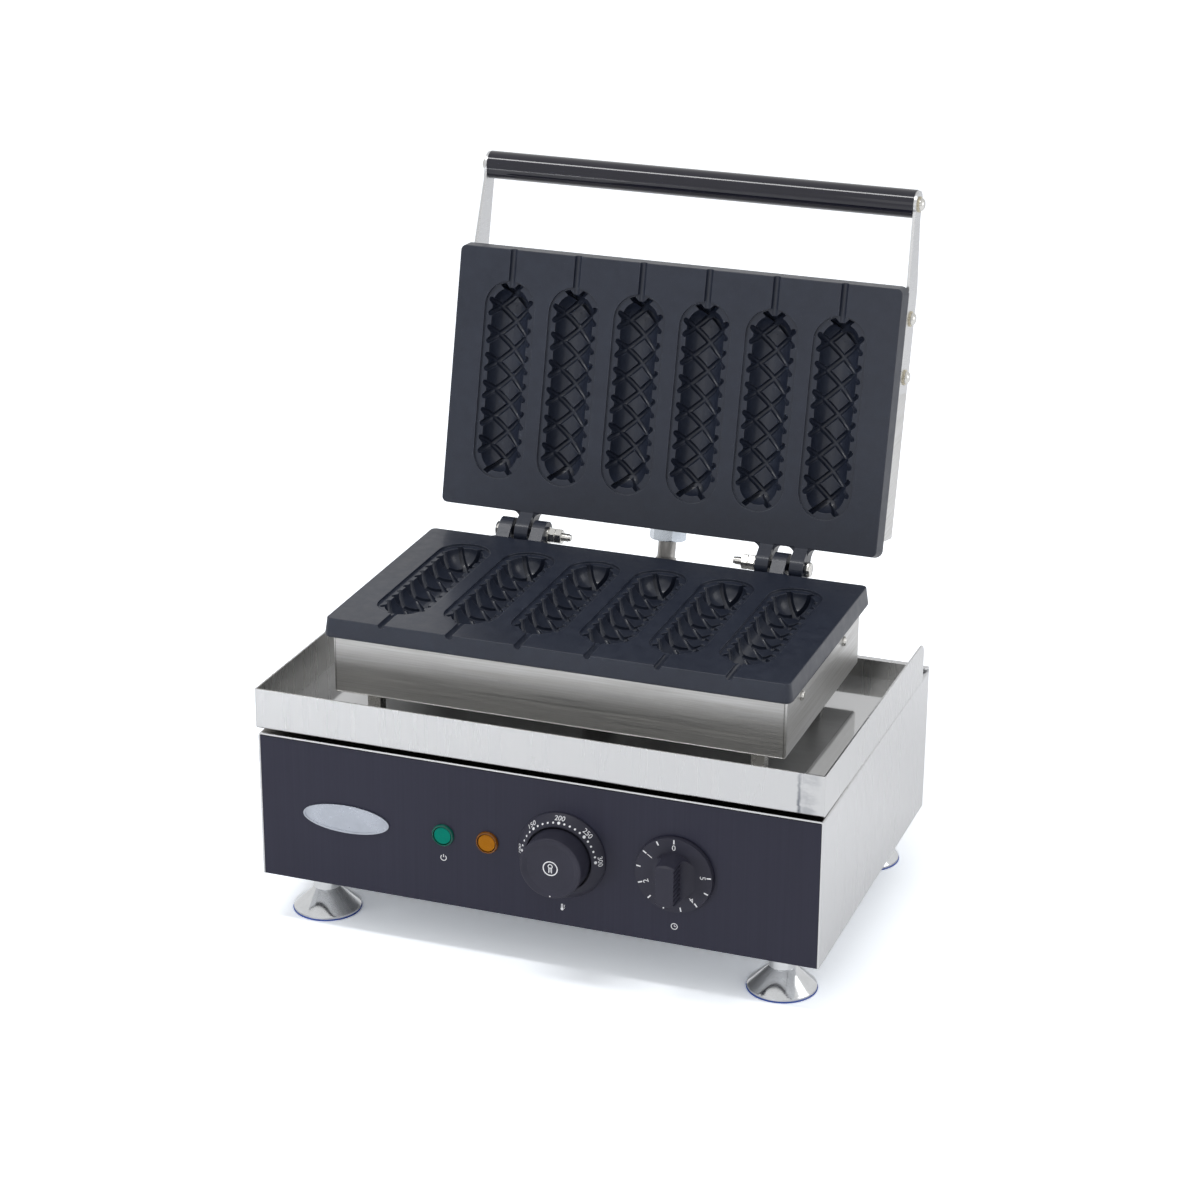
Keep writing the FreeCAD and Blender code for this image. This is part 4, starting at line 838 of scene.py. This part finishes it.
def makeThreadedBolt(node, body, inward):
    low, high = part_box(node)
    nuts = middleOf(node.replace("bolt", "nuts"))
    tip = high.x if inward > 0 else low.x
    start = tip - inward * thread["length"]
    bm = copyOf(node)
    root = thread["radius"] - thread["depth"]
    for vert in bm.verts:
        across = Vector((0, vert.co.y - nuts.y, vert.co.z - nuts.z))
        inThread = (vert.co.x - start) * inward > 0 or abs(vert.co.x - tip) < thread["taper"]
        if inThread and across.length > 0.1 * mm:
            across = across.normalized() * min(across.length, root)
            vert.co.y, vert.co.z = nuts.y + across.y, nuts.z + across.z
    helix = bmesh.new()
    pitch, radius = thread["pitch"], thread["radius"]
    profile = [(0.0, root), (0.4, radius), (0.6, radius), (1.0, root)]
    points = [helix.verts.new((start + share * pitch * inward, nuts.y, nuts.z + height)) for share, height in profile]
    edges = [helix.edges.new(points[i:i + 2]) for i in range(len(points) - 1)]
    turns = int((thread["length"] - thread["taper"]) / pitch) - 1
    steps = thread["steps"] * turns
    bmesh.ops.spin(helix, geom=points + edges, cent=(start, nuts.y, nuts.z), axis=(inward, 0, 0),
                   dvec=(pitch * turns / steps * inward, 0, 0), angle=math.tau * turns, steps=steps)
    bmesh.ops.remove_doubles(helix, verts=helix.verts[:], dist=0.004 * mm)
    joined(bm, helix)
    piece = newPiece(node + "Threaded", bm, "bright", body)
    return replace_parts(piece, node)


# The hose between the lid and the base: a smooth-shaded copy of the conduit in the same place

def makeHose():
    bm = copyOf("conduit")
    bmesh.ops.recalc_face_normals(bm, faces=bm.faces[:])
    mesh = bpy.data.meshes.new("ribbedHose")
    bm.to_mesh(mesh)
    bm.free()
    mesh.materials.append(finishes["hose"])
    mesh.shade_smooth()
    mesh.set_sharp_from_angle(angle=math.radians(40))
    piece = bpy.data.objects.new("ribbedHose", mesh)
    bpy.context.scene.collection.objects.link(piece)
    low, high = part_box("conduit")
    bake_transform(piece)
    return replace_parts(piece, "conduit")


# The thin film left round each foot

def makeFootFilm(foot):
    low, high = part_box(foot)
    middle = (low + high) / 2
    reach = (high.x - low.x) / 2
    bm = bmesh.new()
    corners = [(reach - 0.6 * mm, 0.05 * mm), (reach + 0.35 * mm, 0.05 * mm), (reach + 0.5 * mm, 0.6 * mm),
               (reach + 0.2 * mm, 1.1 * mm), (reach - 0.6 * mm, 1.1 * mm)]
    points = [bm.verts.new((middle.x + radius, middle.y, height)) for radius, height in corners]
    edges = [bm.edges.new((points[i], points[(i + 1) % len(points)])) for i in range(len(points))]
    bmesh.ops.spin(bm, geom=points + edges, cent=(middle.x, middle.y, 0), axis=(0, 0, 1), angle=math.tau, steps=72,
                   use_merge=True)
    return newPiece(foot + "Film", bm, "film", foot)


pieces = [makeDialPrint(), makeKnobMark(), makeTimerPrint(), makePictograms(),
          makeThreadedBolt("left_hinge_bolt", "base", 1), makeThreadedBolt("right_hinge_bolt", "lid", -1), makeHose()]
pieces += [makeFootFilm(name) for name in nodes if name.startswith("foot_") and name != "foot_nuts"]
print("pieces made:", len(pieces))


# Studio

def makeStudio():
    world = bpy.data.worlds.new("studio")
    bpy.context.scene.world = world
    world.use_nodes = True
    s = Shader(world)
    ray = s.add("LightPath", take=("Is Camera Ray", "Is Glossy Ray", "Is Transmission Ray"))
    seen = s.add("Math", {"operation": "MAXIMUM"}, {0: ray[0], 1: ray[2]})
    heading = s.add("TexCoord", take="Generated")
    height = s.spread(0.0, 1.0, s.add("SeparateXYZ", None, {0: heading}, 2), studio["horizonLevel"],
                      studio["zenithLevel"])
    cast = s.add("Mix", {"data_type": "FLOAT"}, {0: ray[1], 2: height, 3: studio["skyMirrored"]})
    level = s.add("Mix", {"data_type": "FLOAT"}, {0: seen, 2: cast, 3: studio["backdropWhite"]})
    sky = s.add("Background", None, {"Color": (1, 1, 1, 1), "Strength": level})
    s.add("OutputWorld", None, {"Surface": sky})
    bm = bmesh.new()
    bmesh.ops.create_grid(bm, x_segments=1, y_segments=1, size=studio["floorSize"] / 2)
    mesh = bpy.data.meshes.new("floor")
    bm.to_mesh(mesh)
    bm.free()
    floor = bpy.data.objects.new("floor", mesh)
    bpy.context.scene.collection.objects.link(floor)
    material, s = newMaterial("paleFloor")
    cloud = s.noise((0.8, 0.8, 0.8), 1.0)
    tone = s.tinted(cloud, studio["floorColour"], tuple(channel * 0.995 for channel in studio["floorColour"]))
    ray = s.add("LightPath", take=("Is Camera Ray", "Is Glossy Ray", "Is Transmission Ray"))
    mirrored = s.tinted(ray[1], tone, studio["floorMirrored"])
    shown = s.tinted(s.add("Math", {"operation": "MAXIMUM"}, {0: ray[0], 1: ray[2]}), mirrored, studio["floorShown"])
    s.surface(Base_Color=shown, Roughness=0.7, Specular_IOR_Level=0.0)
    mesh.materials.append(material)


makeStudio()
makeLamps()
makeCamera()
bpy.context.scene.view_settings.view_transform = "Standard"
print("studio: floor, sky and", len(lamps), "lamps")
